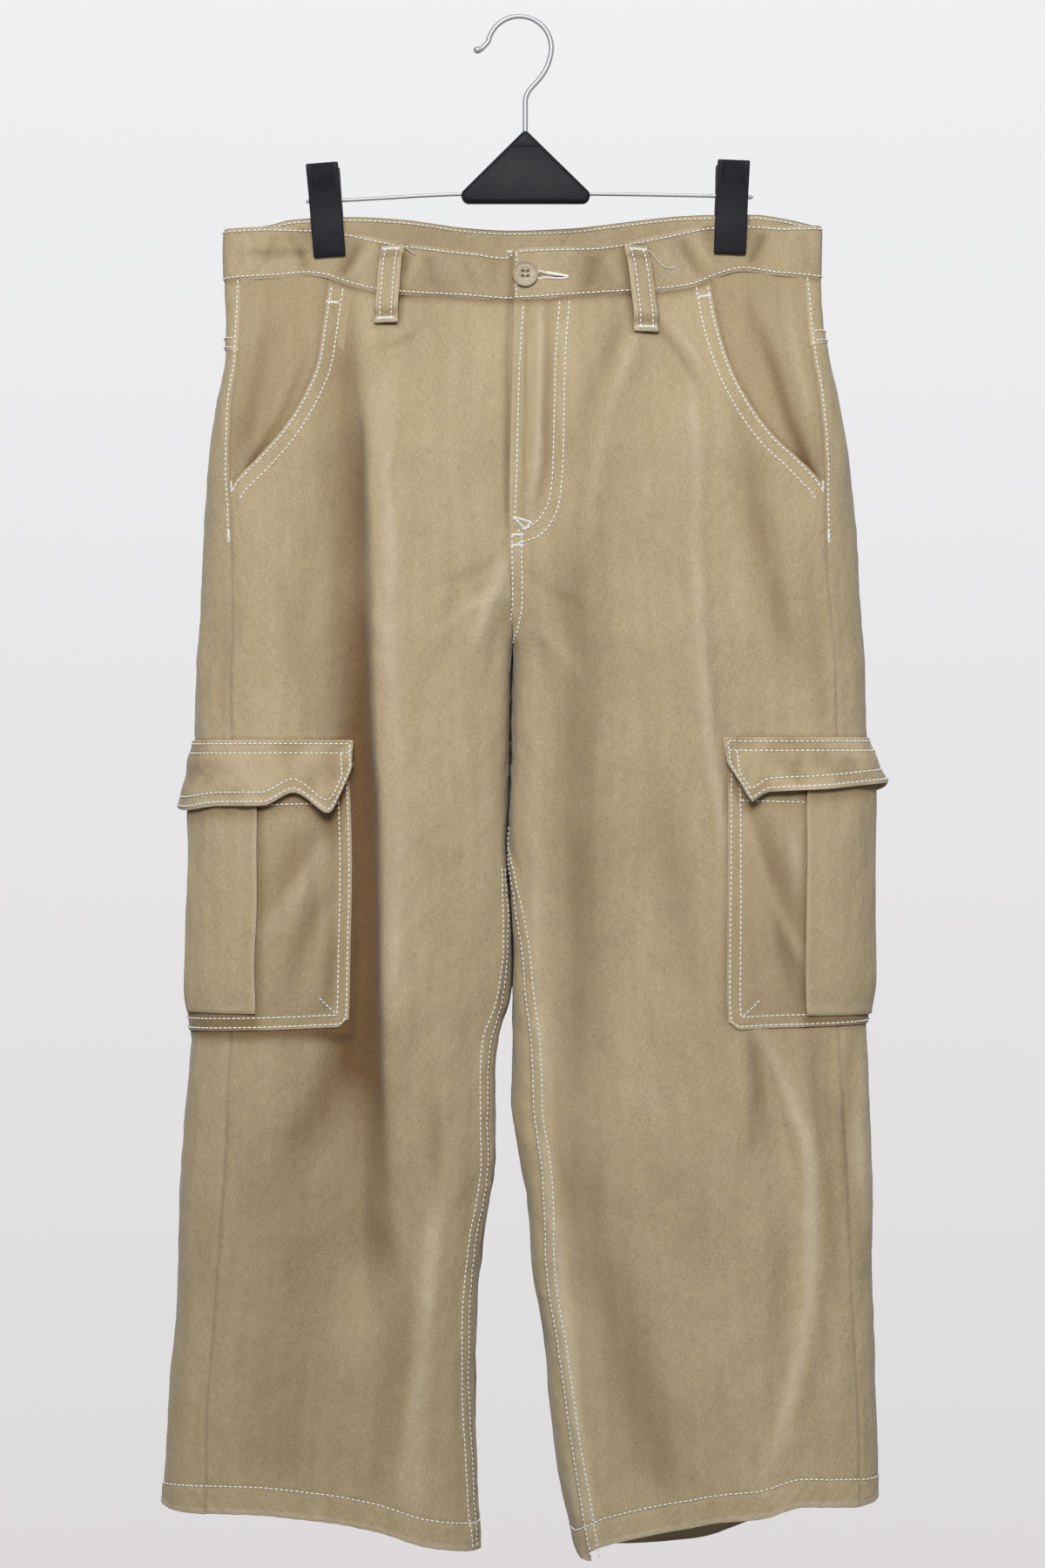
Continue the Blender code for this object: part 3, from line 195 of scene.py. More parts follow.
# The top of each flap, and its lower edge: distance along the cloth, drop, and how far it curls out
FLAP_TOPS = {"right": 498.0, "left": 496.0}
FLAP_EDGES = {
    "right": (
        (-98, 540, 2), (-60, 541, 2.5), (-30, 544, 2.5), (-6, 541, 2), (20, 541, 4), (40, 532, 3),
        (62, 546, 9), (78, 524, 7), (83, 514, 4),
    ),
    "left": (
        (-102, 534, 2), (-60, 532, 4), (-34, 525, 8), (-20, 526, 5), (8, 529, 3), (46, 531, 4), (62, 538, 9),
        (74, 522, 7), (79, 512, 4),
    ),
}

LOOP_COLUMNS = ("name", "face", "x_top", "drop_top", "x_low", "drop_low")
LOOPS = named(LOOP_COLUMNS, (
    ("front_right", "front", -86, 158.5, -90.5, 212),
    ("front_left", "front", 78.5, 160.5, 86, 219),
    ("back_right", "back", -80, 140, -82, 194),
    ("back_centre", "back", -4, 144, -4, 198),
    ("back_left", "back", 86, 139, 88, 192),
))
LOOP_WIDTH = 15.0
LOOP_STANDOFF = 3.2

# Hanger
HOOK_WIRE = 3.5
HOOK_RADIUS = 22.0
HOOK_TIP_ANGLE = 168.0
HOOK_BEND_ANGLE = -14.0
HOOK_CROWN_POINTS = 24
# The small curl of the tip, with how thick the wire swells there, and the bend down to the stem
HOOK_TIP = ((-31.5, 20.8, 1.35), (-29.0, 21.4, 1.55), (-26.2, 20.6, 1.2), (-23.9, 18.4, 1.0))
HOOK_RETURN = ((19.6, 31.5), (16.6, 37.5), (12.2, 43.2), (8.0, 47.8), (5.2, 52.0), (4.0, 57.0), (4.0, 66.0))
STEM_X = 4.0
STEM_LOW = 88.0
BAR_WIRE = 2.8
BAR_POINTS = ((-147, 126), (-122, 125), (-40, 120.8), (4.5, 120.2), (49, 120.6), (134, 122), (161, 123))
BLOCK_OUTLINE = ((4, 76.5), (49.5, 121), (46.5, 127.5), (-38, 127.5), (-41, 121))
BLOCK_DEPTH = 11.0
CLIP_COLUMNS = ("name", "x", "top_drop", "lean_degrees")
CLIPS = named(CLIP_COLUMNS, (("right", -135.5, 101.0, -4.6), ("left", 147.0, 99.0, 2.2)))
JAW_WIDTH = 22.0
# The side view of the front jaw, as y and distance below its top
JAW_PROFILE = (
    (-9.5, 0), (-15.5, 0.8), (-15.8, 6), (-10.2, 22), (-9.4, 40), (-8.2, 60), (-6.8, 64),
    (-3.9, 64), (-3.9, 33), (-1.75, 27.5), (-1.75, 16),
)

# Cloth layers as they are drawn: finer than the solids, which stand in for them
DRAWN_WALL = 1.15
DRAWN_HEM = 2.1
HEM_HEIGHT = 19.0
DRAWN_BAND = 2.6
DRAWN_FACING = 0.9
DRAWN_POCKET = 1.0
DRAWN_FLAP = 1.9
DRAWN_LOOP = 2.0
DRAWN_PLEAT = 1.3

# How far from its edge each of a pair of stitch rows runs
ROW_NEAR = 1.8
ROW_FAR = 8.2
HEM_ROW = 18.5

# The pocket facing starts and ends at these drops, and reaches this far under the mouth
FACING_TOP = 176.0
FACING_LOW = 342.0
FACING_UNDERLAP = 16.0

# How closely the cloth is divided
COLUMN_STEP = 3.1
EDGE_COLUMNS = (0.0, 0.9, 2.0, 3.3, 4.8, 6.6, 8.6, 10.8)
ROW_STEP = 3.1
HEM_STEP = 1.6

# Listed folds: how wide each is to its left and right, then x, drop and strength down its path.
# A strength over 0 is a hollow, where the cloth sinks and is painted darker as shade, and under 0 a ridge,
# which stands out and is painted paler as a highlight.
STROKES = {
    ("right", "front"): (
        (22, 7, (
            (-117, 193, 0.3), (-115, 232, 0.55), (-111, 291, 0.7), (-109, 379, 0.8), (-107, 468, 1.0),
            (-104, 527, 1.4), (-102, 622, 1.4), (-99, 692, 1.1), (-95, 763, 0.7), (-88, 846, 0.3),
        )),
        (15, 14, ((-115, 692, 0.35), (-131, 737, 0.5), (-153, 793, 0.15))),
        (41, 35, ((-157, 763, 0.15), (-148, 852, 0.28), (-157, 994, 0.2))),
        (18, 8, ((-95, 822, 0.05), (-78, 881, 0.28), (-83, 952, 0.32), (-92, 1005, 0.2))),
        (7, 6, ((-57, 722, 0.1), (-55, 781, 0.35), (-63, 834, 0.05))),
        (4, 5, ((-5, 433, 0.35), (-6, 498, 0.5), (-7, 545, 0.5), (-5, 622, 0.3), (-13, 681, 0.3))),
        (8, 7, ((-92, 255, -0.25), (-88, 409, -0.4), (-83, 527, -0.35), (-83, 675, -0.3))),
        (8, 8, ((-51, 775, -0.15), (-60, 852, -0.4), (-69, 940, -0.4), (-75, 1014, -0.3))),
        (5, 5, ((-14, 385, -0.35), (-24, 409, -0.45), (-33, 444, -0.1))),
        (5, 5, ((-9, 409, 0.26), (-18, 433, 0.24), (-26, 468, 0.08))),
        (9, 9, ((-197, 409, 0.15), (-200, 444, 0.2), (-201, 492, 0.1))),
        (7, 7, ((-146, 350, 0.1), (-151, 409, 0.18), (-144, 492, 0.15))),
        (3, 4, ((-12, 372, 0.14), (-34, 384, 0.2), (-62, 396, 0.06))),
        (3, 4, ((-14, 396, -0.2), (-38, 410, -0.3), (-60, 430, -0.1))),
        (3, 4, ((-64, 214, 0.25), (-84, 226, 0.3), (-104, 232, 0.1))),
        (3, 3, ((-6, 202, 0.3), (-7, 261, 0.45), (-7, 326, 0.5), (-6, 353, 0.3))),
    ),
    ("left", "front"): (
        (15, 19, (
            (74, 215, 0.12), (62, 261, 0.25), (51, 326, 0.3), (39, 409, 0.4), (39, 498, 0.5),
            (41, 586, 0.55), (42, 663, 0.45), (38, 740, 0.3),
        )),
        (17, 21, ((33, 757, 0.25), (55, 852, 0.4), (79, 940, 0.45), (97, 1002, 0.35))),
        (9, 10, ((149, 273, 0.2), (163, 350, 0.45), (175, 409, 0.4), (188, 456, 0.1))),
        (15, 14, ((89, 515, 0.1), (104, 586, 0.3), (115, 663, 0.1))),
        (5, 9, ((159, 698, 0.35), (163, 740, 0.4), (156, 790, 0.1))),
        (8, 9, ((198, 698, 0.25), (206, 763, 0.35), (210, 852, 0.3), (194, 952, 0.2))),
        (26, 24, ((120, 757, 0.05), (121, 852, 0.12), (120, 964, 0.08))),
        (5, 5, (
            (119, 273, -0.25), (121, 379, -0.35), (129, 498, -0.4), (143, 586, -0.5), (151, 675, -0.45),
        )),
        (6, 7, (
            (160, 689, -0.45), (181, 734, -0.5), (198, 787, -0.55), (199, 852, -0.5), (188, 929, -0.4),
            (167, 1000, -0.25),
        )),
        (5, 5, ((9, 515, -0.25), (17, 734, -0.35), (38, 952, -0.35), (47, 1020, -0.2))),
        (6, 6, ((82, 219, -0.3), (68, 250, -0.4), (54, 303, -0.25), (40, 374, -0.1))),
        (5, 5, ((4, 403, 0.2), (15, 433, 0.24), (21, 468, 0.08))),
        (3, 4, ((3, 382, 0.14), (22, 398, 0.2), (48, 410, 0.06))),
        (3, 4, ((8, 420, -0.2), (26, 436, -0.3), (46, 458, -0.1))),
        (3, 4, ((94, 212, 0.25), (108, 230, 0.35), (124, 262, 0.1))),
        (3, 3, ((100, 208, -0.2), (116, 228, -0.3), (130, 252, -0.1))),
        (5, 6, ((229, 704, 0.2), (222, 757, 0.25), (224, 822, 0.1))),
        (6, 6, ((235, 698, -0.2), (232, 763, -0.3), (238, 834, -0.2))),
        (7, 7, ((197, 374, 0.15), (202, 433, 0.25), (205, 486, 0.1))),
        (3, 3, ((16, 208, -0.3), (14, 250, -0.5), (13, 300, -0.55), (9, 340, -0.2))),
        (3, 5, ((20, 206, 0.3), (18, 250, 0.45), (18, 300, 0.5), (14, 336, 0.2))),
    ),
    ("right", "pocket"): (
        (6, 6, ((-121, 530, 0.5), (-125, 551, 0.5), (-131, 586, 0.15))),
        (14, 9, ((-133, 557, 0.3), (-151, 577, 0.35), (-168, 622, 0.1))),
        (7, 8, ((-125, 592, 0.1), (-144, 622, 0.35), (-157, 663, 0.15))),
        (6, 6, ((-136, 574, -0.3), (-157, 610, -0.4), (-173, 633, -0.2))),
        (6, 5, ((-125, 633, 0.25), (-130, 657, 0.35), (-134, 684, 0.15))),
    ),
    ("right", "facing"): (
        (8, 8, ((-164, 199, 0.05), (-177, 238, 0.3), (-187, 291, 0.35))),
        (3, 3, ((-144, 232, 0.2), (-160, 273, 0.35), (-184, 309, 0.6))),
    ),
    ("left", "facing"): (
        (5, 5, ((159, 199, 0.2), (170, 232, 0.4), (182, 273, 0.6), (198, 315, 0.9))),
        (4, 5, ((182, 199, -0.1), (188, 232, -0.3), (198, 273, -0.2))),
    ),
    ("left", "pocket"): (
        (6, 14, ((157, 545, 0.25), (170, 586, 0.5), (180, 633, 0.45), (190, 675, 0.2))),
        (4, 5, ((150, 545, -0.3), (170, 598, -0.5), (186, 633, -0.4), (201, 663, -0.3))),
        (8, 8, ((212, 563, 0.1), (219, 592, 0.3), (216, 633, 0.1))),
        (6, 6, ((173, 545, -0.1), (188, 574, -0.3), (194, 604, -0.1))),
    ),
    ("right", "back"): (
        (9, 8, ((-30, 330, 0.1), (-52, 380, 0.4), (-90, 440, 0.1))),
        (8, 9, ((-18, 380, -0.1), (-44, 430, -0.4), (-84, 486, -0.1))),
        (9, 9, ((-16, 440, 0.3), (-34, 480, 0.4), (-70, 530, 0.1))),
        (16, 9, ((-86, 330, 0.15), (-94, 560, 0.5), (-98, 760, 0.45), (-96, 880, 0.1))),
        (9, 9, ((-66, 560, 0.1), (-72, 690, 0.3), (-70, 840, 0.1))),
        (10, 10, ((-150, 680, -0.1), (-142, 820, -0.35), (-150, 990, -0.2))),
        (12, 10, ((-70, 820, 0.1), (-78, 920, 0.3), (-68, 1024, 0.2))),
        (10, 10, ((-190, 740, 0.1), (-186, 880, 0.3), (-192, 1010, 0.2))),
    ),
    ("left", "back"): (
        (9, 8, ((24, 330, 0.1), (50, 388, 0.4), (92, 440, 0.1))),
        (8, 8, ((12, 392, -0.1), (42, 444, -0.4), (84, 490, -0.1))),
        (9, 9, ((10, 450, 0.3), (30, 492, 0.4), (66, 544, 0.1))),
        (9, 16, ((92, 330, 0.15), (106, 560, 0.45), (112, 760, 0.4), (114, 890, 0.1))),
        (9, 9, ((64, 570, 0.1), (76, 690, 0.3), (70, 860, 0.1))),
        (10, 10, ((160, 700, -0.1), (154, 840, -0.35), (160, 1000, -0.2))),
        (10, 12, ((84, 840, 0.1), (94, 930, 0.3), (86, 1030, 0.2))),
        (10, 10, ((202, 760, 0.1), (198, 900, 0.3), (204, 1010, 0.2))),
    ),
}
STROKE_DEPTH = 3.4


# ---------------- settings


def colour(name, default, description):
    limits = {"min": 0.0, "max": 1.0}
    return FloatVectorProperty(name=name, description=description, subtype="COLOR", default=default, **limits)


def amount(name, default, low, high, description, **units):
    return FloatProperty(name=name, description=description, default=default, min=low, max=high, **units)


class JeansCloth(bpy.types.PropertyGroup):
    dark: colour("Dark Yarn", (0.305, 0.229, 0.117), "Colour of the twill's darker yarn")
    light: colour("Light Yarn", (0.605, 0.503, 0.326), "Colour of the twill's lighter yarn")
    # This colour paints real wear at the cut edges and painted highlights on ridges, crests and what stands
    # out.
    wear_and_highlight: colour("Worn Edge", (0.640, 0.545, 0.400), "Folds and edges that washing has rubbed pale")
    # This tint is painted shade: it is multiplied into the cloth in folds, grooves, beside seams and loops,
    # and under other pieces.
    hollow: colour("Hollow Tint", (0.38, 0.27, 0.185), "Tint deep in the folds, where washing has not rubbed")
    wale: amount("Wale Spacing", 1.25, 0.3, 4.0, "Distance between the twill's ribs, in millimetres")
    crease: amount("Crease Strength", 1.4, 0.0, 3.0, "Share of the small creases' height that is built")


class JeansSewing(bpy.types.PropertyGroup):
    thread: colour("Thread", (0.93, 0.91, 0.86), "Colour of the topstitching thread")
    pitch: amount("Stitch Pitch", 3.5, 1.0, 8.0, "From one stitch to the next, in millimetres")
    length: amount("Stitch Length", 2.95, 0.5, 8.0, "Visible length of one stitch, in millimetres")
    width: amount("Thread Width", 1.15, 0.2, 2.0, "Width of the thread, in millimetres")


class JeansHanger(bpy.types.PropertyGroup):
    plastic: colour("Plastic", (0.013, 0.013, 0.016), "Colour of the block and clips")
    chrome: colour("Wire", (0.56, 0.57, 0.59), "Colour of the plated wire")
    sides: IntProperty(name="Wire Sides", description="Sides of a wire's section", default=20, min=8, max=48)


class JeansStage(bpy.types.PropertyGroup):
    backdrop: amount("Backdrop Glow", 1.0, 0.0, 3.0, "Brightness of the pale cove")
    room: amount("Room Glow", 0.27, 0.0, 3.0, "Share of that glow on the cove's side in front of the garment")
    key: amount("Key Power", 87.0, 0.0, 1000.0, "Power of the large front light, in watts")
    distance: amount(
        "Camera Distance", 2.4, 1.0, 10.0, "From the garment to the camera", subtype="DISTANCE", unit="LENGTH"
    )


def cloth():
    return bpy.context.scene.jeans_cloth


def sewing():
    return bpy.context.scene.jeans_sewing


def hanger():
    return bpy.context.scene.jeans_hanger


def stage():
    return bpy.context.scene.jeans_stage


# ---------------- the cloth's shape


def ease(share):
    share = np.clip(share, 0.0, 1.0)
    return share * share * (3.0 - 2.0 * share)


def near(away, width):
    """1 at no distance, falling off like a bell."""
    return np.exp(-((away / width) ** 2))


def twin(away, width=0.8):
    """1 on either of a pair of stitch rows, at this distance from their edge."""
    return near(away - ROW_NEAR, width) + near(away - ROW_FAR, width)


def alike(*values):
    return np.broadcast_arrays(*(np.asarray(value, float) for value in values))


def travelled(points, axis=0):
    """The distance covered up to each point of a line or grid."""
    steps = np.linalg.norm(np.diff(points, axis=axis), axis=-1)
    return np.insert(np.cumsum(steps, axis=axis), 0, 0.0, axis=axis)


def through(knots, values, at):
    """A smooth curve through the values that never swings past them."""
    knots = np.asarray(knots, float)
    values = np.asarray(values, float)
    steps = np.diff(knots)
    slopes = np.diff(values) / steps
    tangents = np.zeros(len(knots))
    tangents[0] = slopes[0]
    tangents[-1] = slopes[-1]
    for i in range(1, len(slopes)):
        if slopes[i - 1] * slopes[i] > 0:
            tangents[i] = 2.0 * slopes[i - 1] * slopes[i] / (slopes[i - 1] + slopes[i])
    at = np.clip(np.asarray(at, float), knots[0], knots[-1])
    i = np.clip(np.searchsorted(knots, at, side="right") - 1, 0, len(steps) - 1)
    t = (at - knots[i]) / steps[i]
    rest = 1.0 - t
    return (
        values[i] * (1 + 2 * t) * rest**2
        + tangents[i] * steps[i] * t * rest**2
        + values[i + 1] * (3 - 2 * t) * t**2
        - tangents[i + 1] * steps[i] * rest * t**2
    )


def line(points, at):
    return through([p[0] for p in points], [p[1] for p in points], at)


def leg_value(leg, column, drop):
    rows = LEGS[leg]
    place = LEG_COLUMNS.index(column)
    return through([row[0] for row in rows], [row[place] for row in rows], drop)


def inwards(leg):
    return 1.0 if leg == "right" else -1.0


def fold_depth(leg, face, x, drop):
    """How far the large folds push the cloth inwards here."""
    total = np.zeros(np.shape(x))
    for fold in FOLDS:
        if (fold["leg"], fold["face"]) != (leg, face):
            continue
        drops = (fold["drop_top"], fold["drop_middle"], fold["drop_low"])
        away = (x - through(drops, (fold["x_top"], fold["x_middle"], fold["x_low"]), drop)) * fold["hollow"]
        ends = ease((drop - drops[0]) / fold["fade"]) * ease((drops[2] - drop) / fold["fade"])
        slope = ease(away / fold["steep"]) - ease((away - fold["steep"]) / fold["gentle"])
        total = total + fold["depth"] * slope * ends
    return total


def clip_squeeze(leg, x, drop):
    """The share of the depth that the clip takes away."""
    away = (x - CLIP_X[leg]) * inwards(leg)
    reach = np.where(away > 0, CLIP_REACH_IN, CLIP_REACH_OUT)
    low = ease((drop - CLIP_EASE_FROM) / (CLIP_EASE_TO - CLIP_EASE_FROM))
    return CLIP_SQUEEZE * (1.0 - ease((np.abs(away) - CLIP_HALF) / reach)) * (1.0 - low)


def surface(leg, turn, drop):
    """The middle of the cloth at this turn and drop, with its large folds."""
    turn, drop = alike(turn, drop)
    side = leg_value(leg, "side", drop)
    inner = leg_value(leg, "inner", drop)
    share = (1.0 - np.cos(math.pi * np.clip(np.abs(turn), 0.0, 1.0))) / 2.0
    x = side + (inner - side) * share
    across = 2.0 * share - 1.0
    depths = np.zeros(np.shape(turn))
    for face, sign in (("front", -1.0), ("back", 1.0)):
        here = (turn >= 0) if face == "front" else (turn < 0)
        depth = leg_value(leg, face, drop)
        rise = line(RISE[face], drop)
        outer = (1.0 - np.clip(-across, 0, 1) ** ROUNDNESS) ** (1.0 / ROUNDNESS)
        bend = 1.0 + (INNER_ROUNDNESS - 1.0) * (1.0 - rise)
        dip = (1.0 - np.clip(across, 0, 1) ** INNER_ROUNDNESS) ** (1.0 / bend)
        shape = outer * (rise + (1.0 - rise) * dip)
        taken = 1.0 - clip_squeeze(leg, x, drop)
        depths = np.where(here, sign * shape * (depth * taken - fold_depth(leg, face, x, drop)), depths)
    return np.stack([x, depths, -drop], axis=-1)


def unit(vectors):
    return vectors / np.maximum(np.linalg.norm(vectors, axis=-1, keepdims=True), 1e-9)


def normals(leg, turn, drop):
    """Outward unit normals of the smooth cloth."""
    turn, drop = alike(turn, drop)
    low = np.maximum(turn - 0.004, -1.0)
    high = np.minimum(turn + 0.004, 1.0)
    around = surface(leg, high, drop) - surface(leg, low, drop)
    down = surface(leg, turn, drop + 1.0) - surface(leg, turn, drop - 1.0)
    return unit(np.cross(down, around) * inwards(leg))


def turn_at(leg, x, drop, face="front"):
    """The turn at which the cloth passes this x."""
    side = leg_value(leg, "side", drop)
    inner = leg_value(leg, "inner", drop)
    share = np.clip((x - side) / (inner - side), 0.0, 1.0)
    turn = np.arccos(1.0 - 2.0 * share) / math.pi
    return turn if face == "front" else -turn


def side_seam_turn(leg, drop):
    x = leg_value(leg, "side", drop) + inwards(leg) * leg_value(leg, "side_seam", drop)
    return turn_at(leg, x, drop)


def inseam_turn(leg, drop):
    x = leg_value(leg, "inner", drop) - inwards(leg) * leg_value(leg, "inseam", drop)
    return turn_at(leg, x, drop)


def fold_round(turn):
    """A turn past the inner edge is on the other face."""
    turn = np.where(turn < -1.0, turn + 2.0, turn)
    return np.where(turn > 1.0, turn - 2.0, turn)


class Tape:
    """Distances along the cloth of one leg, measured round the ring from the side seam."""

    DROPS = np.arange(130.0, 1066.0, 6.0)
    TURNS = np.linspace(-1.0, 1.0, 641)
    FIRST = -320.0
    STEP = 0.5

    def __init__(self, leg):
        lengths = travelled(surface(leg, self.TURNS[None, :], self.DROPS[:, None]), 1)
        seam = side_seam_turn(leg, self.DROPS)
        start = np.array([np.interp(s, self.TURNS, row) for s, row in zip(seam, lengths)])
        self.lengths = lengths - start[:, None]
        reach = np.arange(self.FIRST, -self.FIRST, self.STEP)
        self.turns = np.array([np.interp(reach, row, self.TURNS) for row in self.lengths])

    def look_up(self, table, column, drop):
        """The table's value between its rows and columns."""
        step = self.DROPS[1] - self.DROPS[0]
        place = np.clip((drop - self.DROPS[0]) / step, 0.0, len(self.DROPS) - 1.001)
        row, left = place.astype(int), np.clip(column.astype(int), 0, table.shape[1] - 2)
        part, share = place - row, np.clip(column - left, 0.0, 1.0)
        low = table[row, left] * (1 - share) + table[row, left + 1] * share
        high = table[row + 1, left] * (1 - share) + table[row + 1, left + 1] * share
        return low * (1 - part) + high * part

    def along(self, turn, drop):
        """The distance at this turn and drop."""
        turn, drop = alike(turn, drop)
        column = np.clip((turn + 1.0) / 2.0, 0.0, 1.0) * (len(self.TURNS) - 1)
        return self.look_up(self.lengths, column, drop)

    def turn(self, along, drop):
        """The turn at this distance and drop."""
        along, drop = alike(along, drop)
        return self.look_up(self.turns, (along - self.FIRST) / self.STEP, drop)


TAPES = {leg: Tape(leg) for leg in LEGS}
NOISE = {seed: np.random.default_rng(seed).uniform(-1.0, 1.0, (64, 64)) for seed in range(1, 13)}


def lumps(seed, u, v):
    """Smooth unevenness from -1 to 1, with about one lump to each unit of u and v."""
    table = NOISE[seed]
    i, j = np.floor(u).astype(int), np.floor(v).astype(int)
    s, t = ease(u - i), ease(v - j)
    a = table[i % 64, j % 64] * (1 - s) + table[(i + 1) % 64, j % 64] * s
    b = table[i % 64, (j + 1) % 64] * (1 - s) + table[(i + 1) % 64, (j + 1) % 64] * s
    return a * (1 - t) + b * t


# The strength both shapes the cloth and paints shade into its hollows and highlights onto its ridges.
def strokes(leg, face, x, drop):
    """The strength of the listed folds here: over 0 in a hollow, under 0 on a ridge."""
    x, drop = alike(x, drop)
    total = np.zeros(x.shape)
    for left, right, path in STROKES[leg, face]:
        xs, drops, strengths = zip(*path)
        here = (drop > drops[0] - 24.0) & (drop < drops[-1] + 24.0)
        if not here.any():
            continue
        px, pd = x[here], drop[here]
        middle = through(drops, xs, pd)
        lean = through(drops, xs, pd + 2.0) - middle
        ends = ease((pd - drops[0] + 24.0) / 34.0) * ease((drops[-1] + 24.0 - pd) / 34.0)
        wander = 1.6 * lumps(3, pd / 34.0 + xs[0], np.full(px.shape, drops[0] * 0.37))
        away = (px - middle - wander) / np.sqrt(1.0 + (lean / 2.0) ** 2)
        uneven = 0.95 + 0.15 * lumps(4, pd / 30.0, np.full(px.shape, xs[0] * 0.61))
        across = near(away, np.where(away < 0.0, left, right))
        total[here] += through(drops, strengths, pd) * across * ends * uneven
    return total


def seam_pull(away, along, seed, doubled):
    """How the cloth draws in and puckers beside a seam: away is the distance from it."""
    away = np.abs(away)
    half = 0.5 + 0.0 * along
    pucker = 0.45 * lumps(seed, along / 5.2, half) + 0.30 * lumps(seed + 1, along / 11.0, half)
    total = pucker * near(away, 8.0) - 0.75 * near(away, 1.3)
    if doubled:
        total = total + 0.55 * (1.0 - ease((away - ROW_FAR - 0.4) / 2.2)) - 0.22 * twin(away)
    return total


def hem_drop(leg, turn, x):
    return np.where(turn >= 0, line(HEM_LINES[leg, "front"], x), line(HEM_LINES[leg, "back"], x))


def relief(leg, turn, drop):
    """How far the small creases, seams and puckers stand out of the smooth cloth."""
    turn, drop = alike(turn, drop)
    tape, front = TAPES[leg], turn >= 0.0
    x, along = surface_x(leg, turn, drop), tape.along(turn, drop)
    total = np.zeros(x.shape)
    for face, here in (("front", front), ("back", ~front)):
        if here.any():
            total[here] -= STROKE_DEPTH * strokes(leg, face, x[here], drop[here])
    offset = 11.0 if leg == "left" else 0.0
    total = total + 0.55 * lumps(5, along / 46.0 + offset, drop / 90.0)
    total = total + 0.45 * lumps(6, along / 19.0 + offset, drop / 47.0)
    total = total + 0.36 * lumps(7, (along + 0.5 * drop) / 9.0 + offset, (drop - 0.4 * along) / 19.0)
    total = total + 0.15 * lumps(11, along / 4.5 + offset, drop / 6.0)
    total = total * cloth().crease * under_pocket(leg, along, drop)
    pull = seam_pull(along, drop, 8, False)
    if (drop > CROTCH_DROP).any():
        seam = tape.along(inseam_turn(leg, drop), drop)
        below = ease((drop - CROTCH_DROP) / 20.0)
        pull = pull + below * np.where(front, seam_pull(seam - along, drop, 10, True), 0.0)
    below_fly = np.where(front, ease((drop - 352.0) / 10.0), 0.0)
    rise = seam_pull(tape.along(1.0, drop) - along, drop, 10, True) * below_fly
    rise = rise + seam_pull(along - tape.along(-1.0, drop), drop, 10, leg == "right") * ~front
    pull = pull + (1.0 - ease((drop - CROTCH_DROP + 6.0) / 12.0)) * rise
    up = hem_drop(leg, turn, x) - drop
    roping = np.sin(math.tau * (x * inwards(leg) + 0.9 * up) / 10.5 + 1.8 * lumps(9, x / 14.0, up / 30.0))
    in_hem = ease(up / 2.0) * ease((HEM_HEIGHT - up) / 4.0)
    above_hem = near(up - HEM_ROW, 9.0) * (up > HEM_ROW - 1.0)
    hem = (0.55 + 0.20 * roping) * in_hem - 0.35 * near(up - HEM_ROW, 0.9)
    return total + pull + hem + 0.35 * lumps(12, x / 6.5, 0.5 + 0.0 * x) * above_hem


def surface_x(leg, turn, drop):
    side = leg_value(leg, "side", drop)
    inner = leg_value(leg, "inner", drop)
    return side + (inner - side) * (1.0 - np.cos(math.pi * np.clip(np.abs(turn), 0.0, 1.0))) / 2.0


def under_pocket(leg, along, drop):
    """0 under a cargo pocket, where the cloth lies flat, and 1 clear of it."""
    size = CARGO[leg]
    margin = 6.0
    across = ease((along - size["front_edge"]) / margin) + ease((size["back_edge"] - along) / margin)
    down = ease((FLAP_TOPS[leg] - drop) / margin) + ease((drop - size["low_back"]) / margin)
    return np.clip(across + down, 0.0, 1.0)


def raised(leg, turn, drop, height):
    """Points of the smooth cloth moved out by this height, and its normals there."""
    out = normals(leg, turn, drop)
    return surface(leg, turn, drop) + out * np.broadcast_to(height, out.shape[:-1])[..., None], out


def placed(leg, turn, drop, lift=0.0):
    """Points of the creased cloth, moved out by the lift."""
    turn, drop = alike(turn, drop)
    turn = fold_round(turn)
    return raised(leg, turn, drop, lift + relief(leg, turn, drop))[0]


def grid_normals(points, flip):
    """Unit normals of a grid of points, from its own neighbours."""
    down = np.gradient(points, axis=0)
    around = np.gradient(points, axis=1)
    return unit(np.cross(down, around) * flip)


# ---------------- shader maths


class Value:
    """A shader socket that takes part in sums."""

    def __init__(self, shader, socket):
        self.shader = shader
        self.socket = socket

    def __add__(self, other):
        return self.shader.node("ShaderNodeMath", {"operation": "ADD"}, {0: self, 1: other})

    def __mul__(self, other):
        return self.shader.node("ShaderNodeMath", {"operation": "MULTIPLY"}, {0: self, 1: other})

    __rmul__ = __mul__


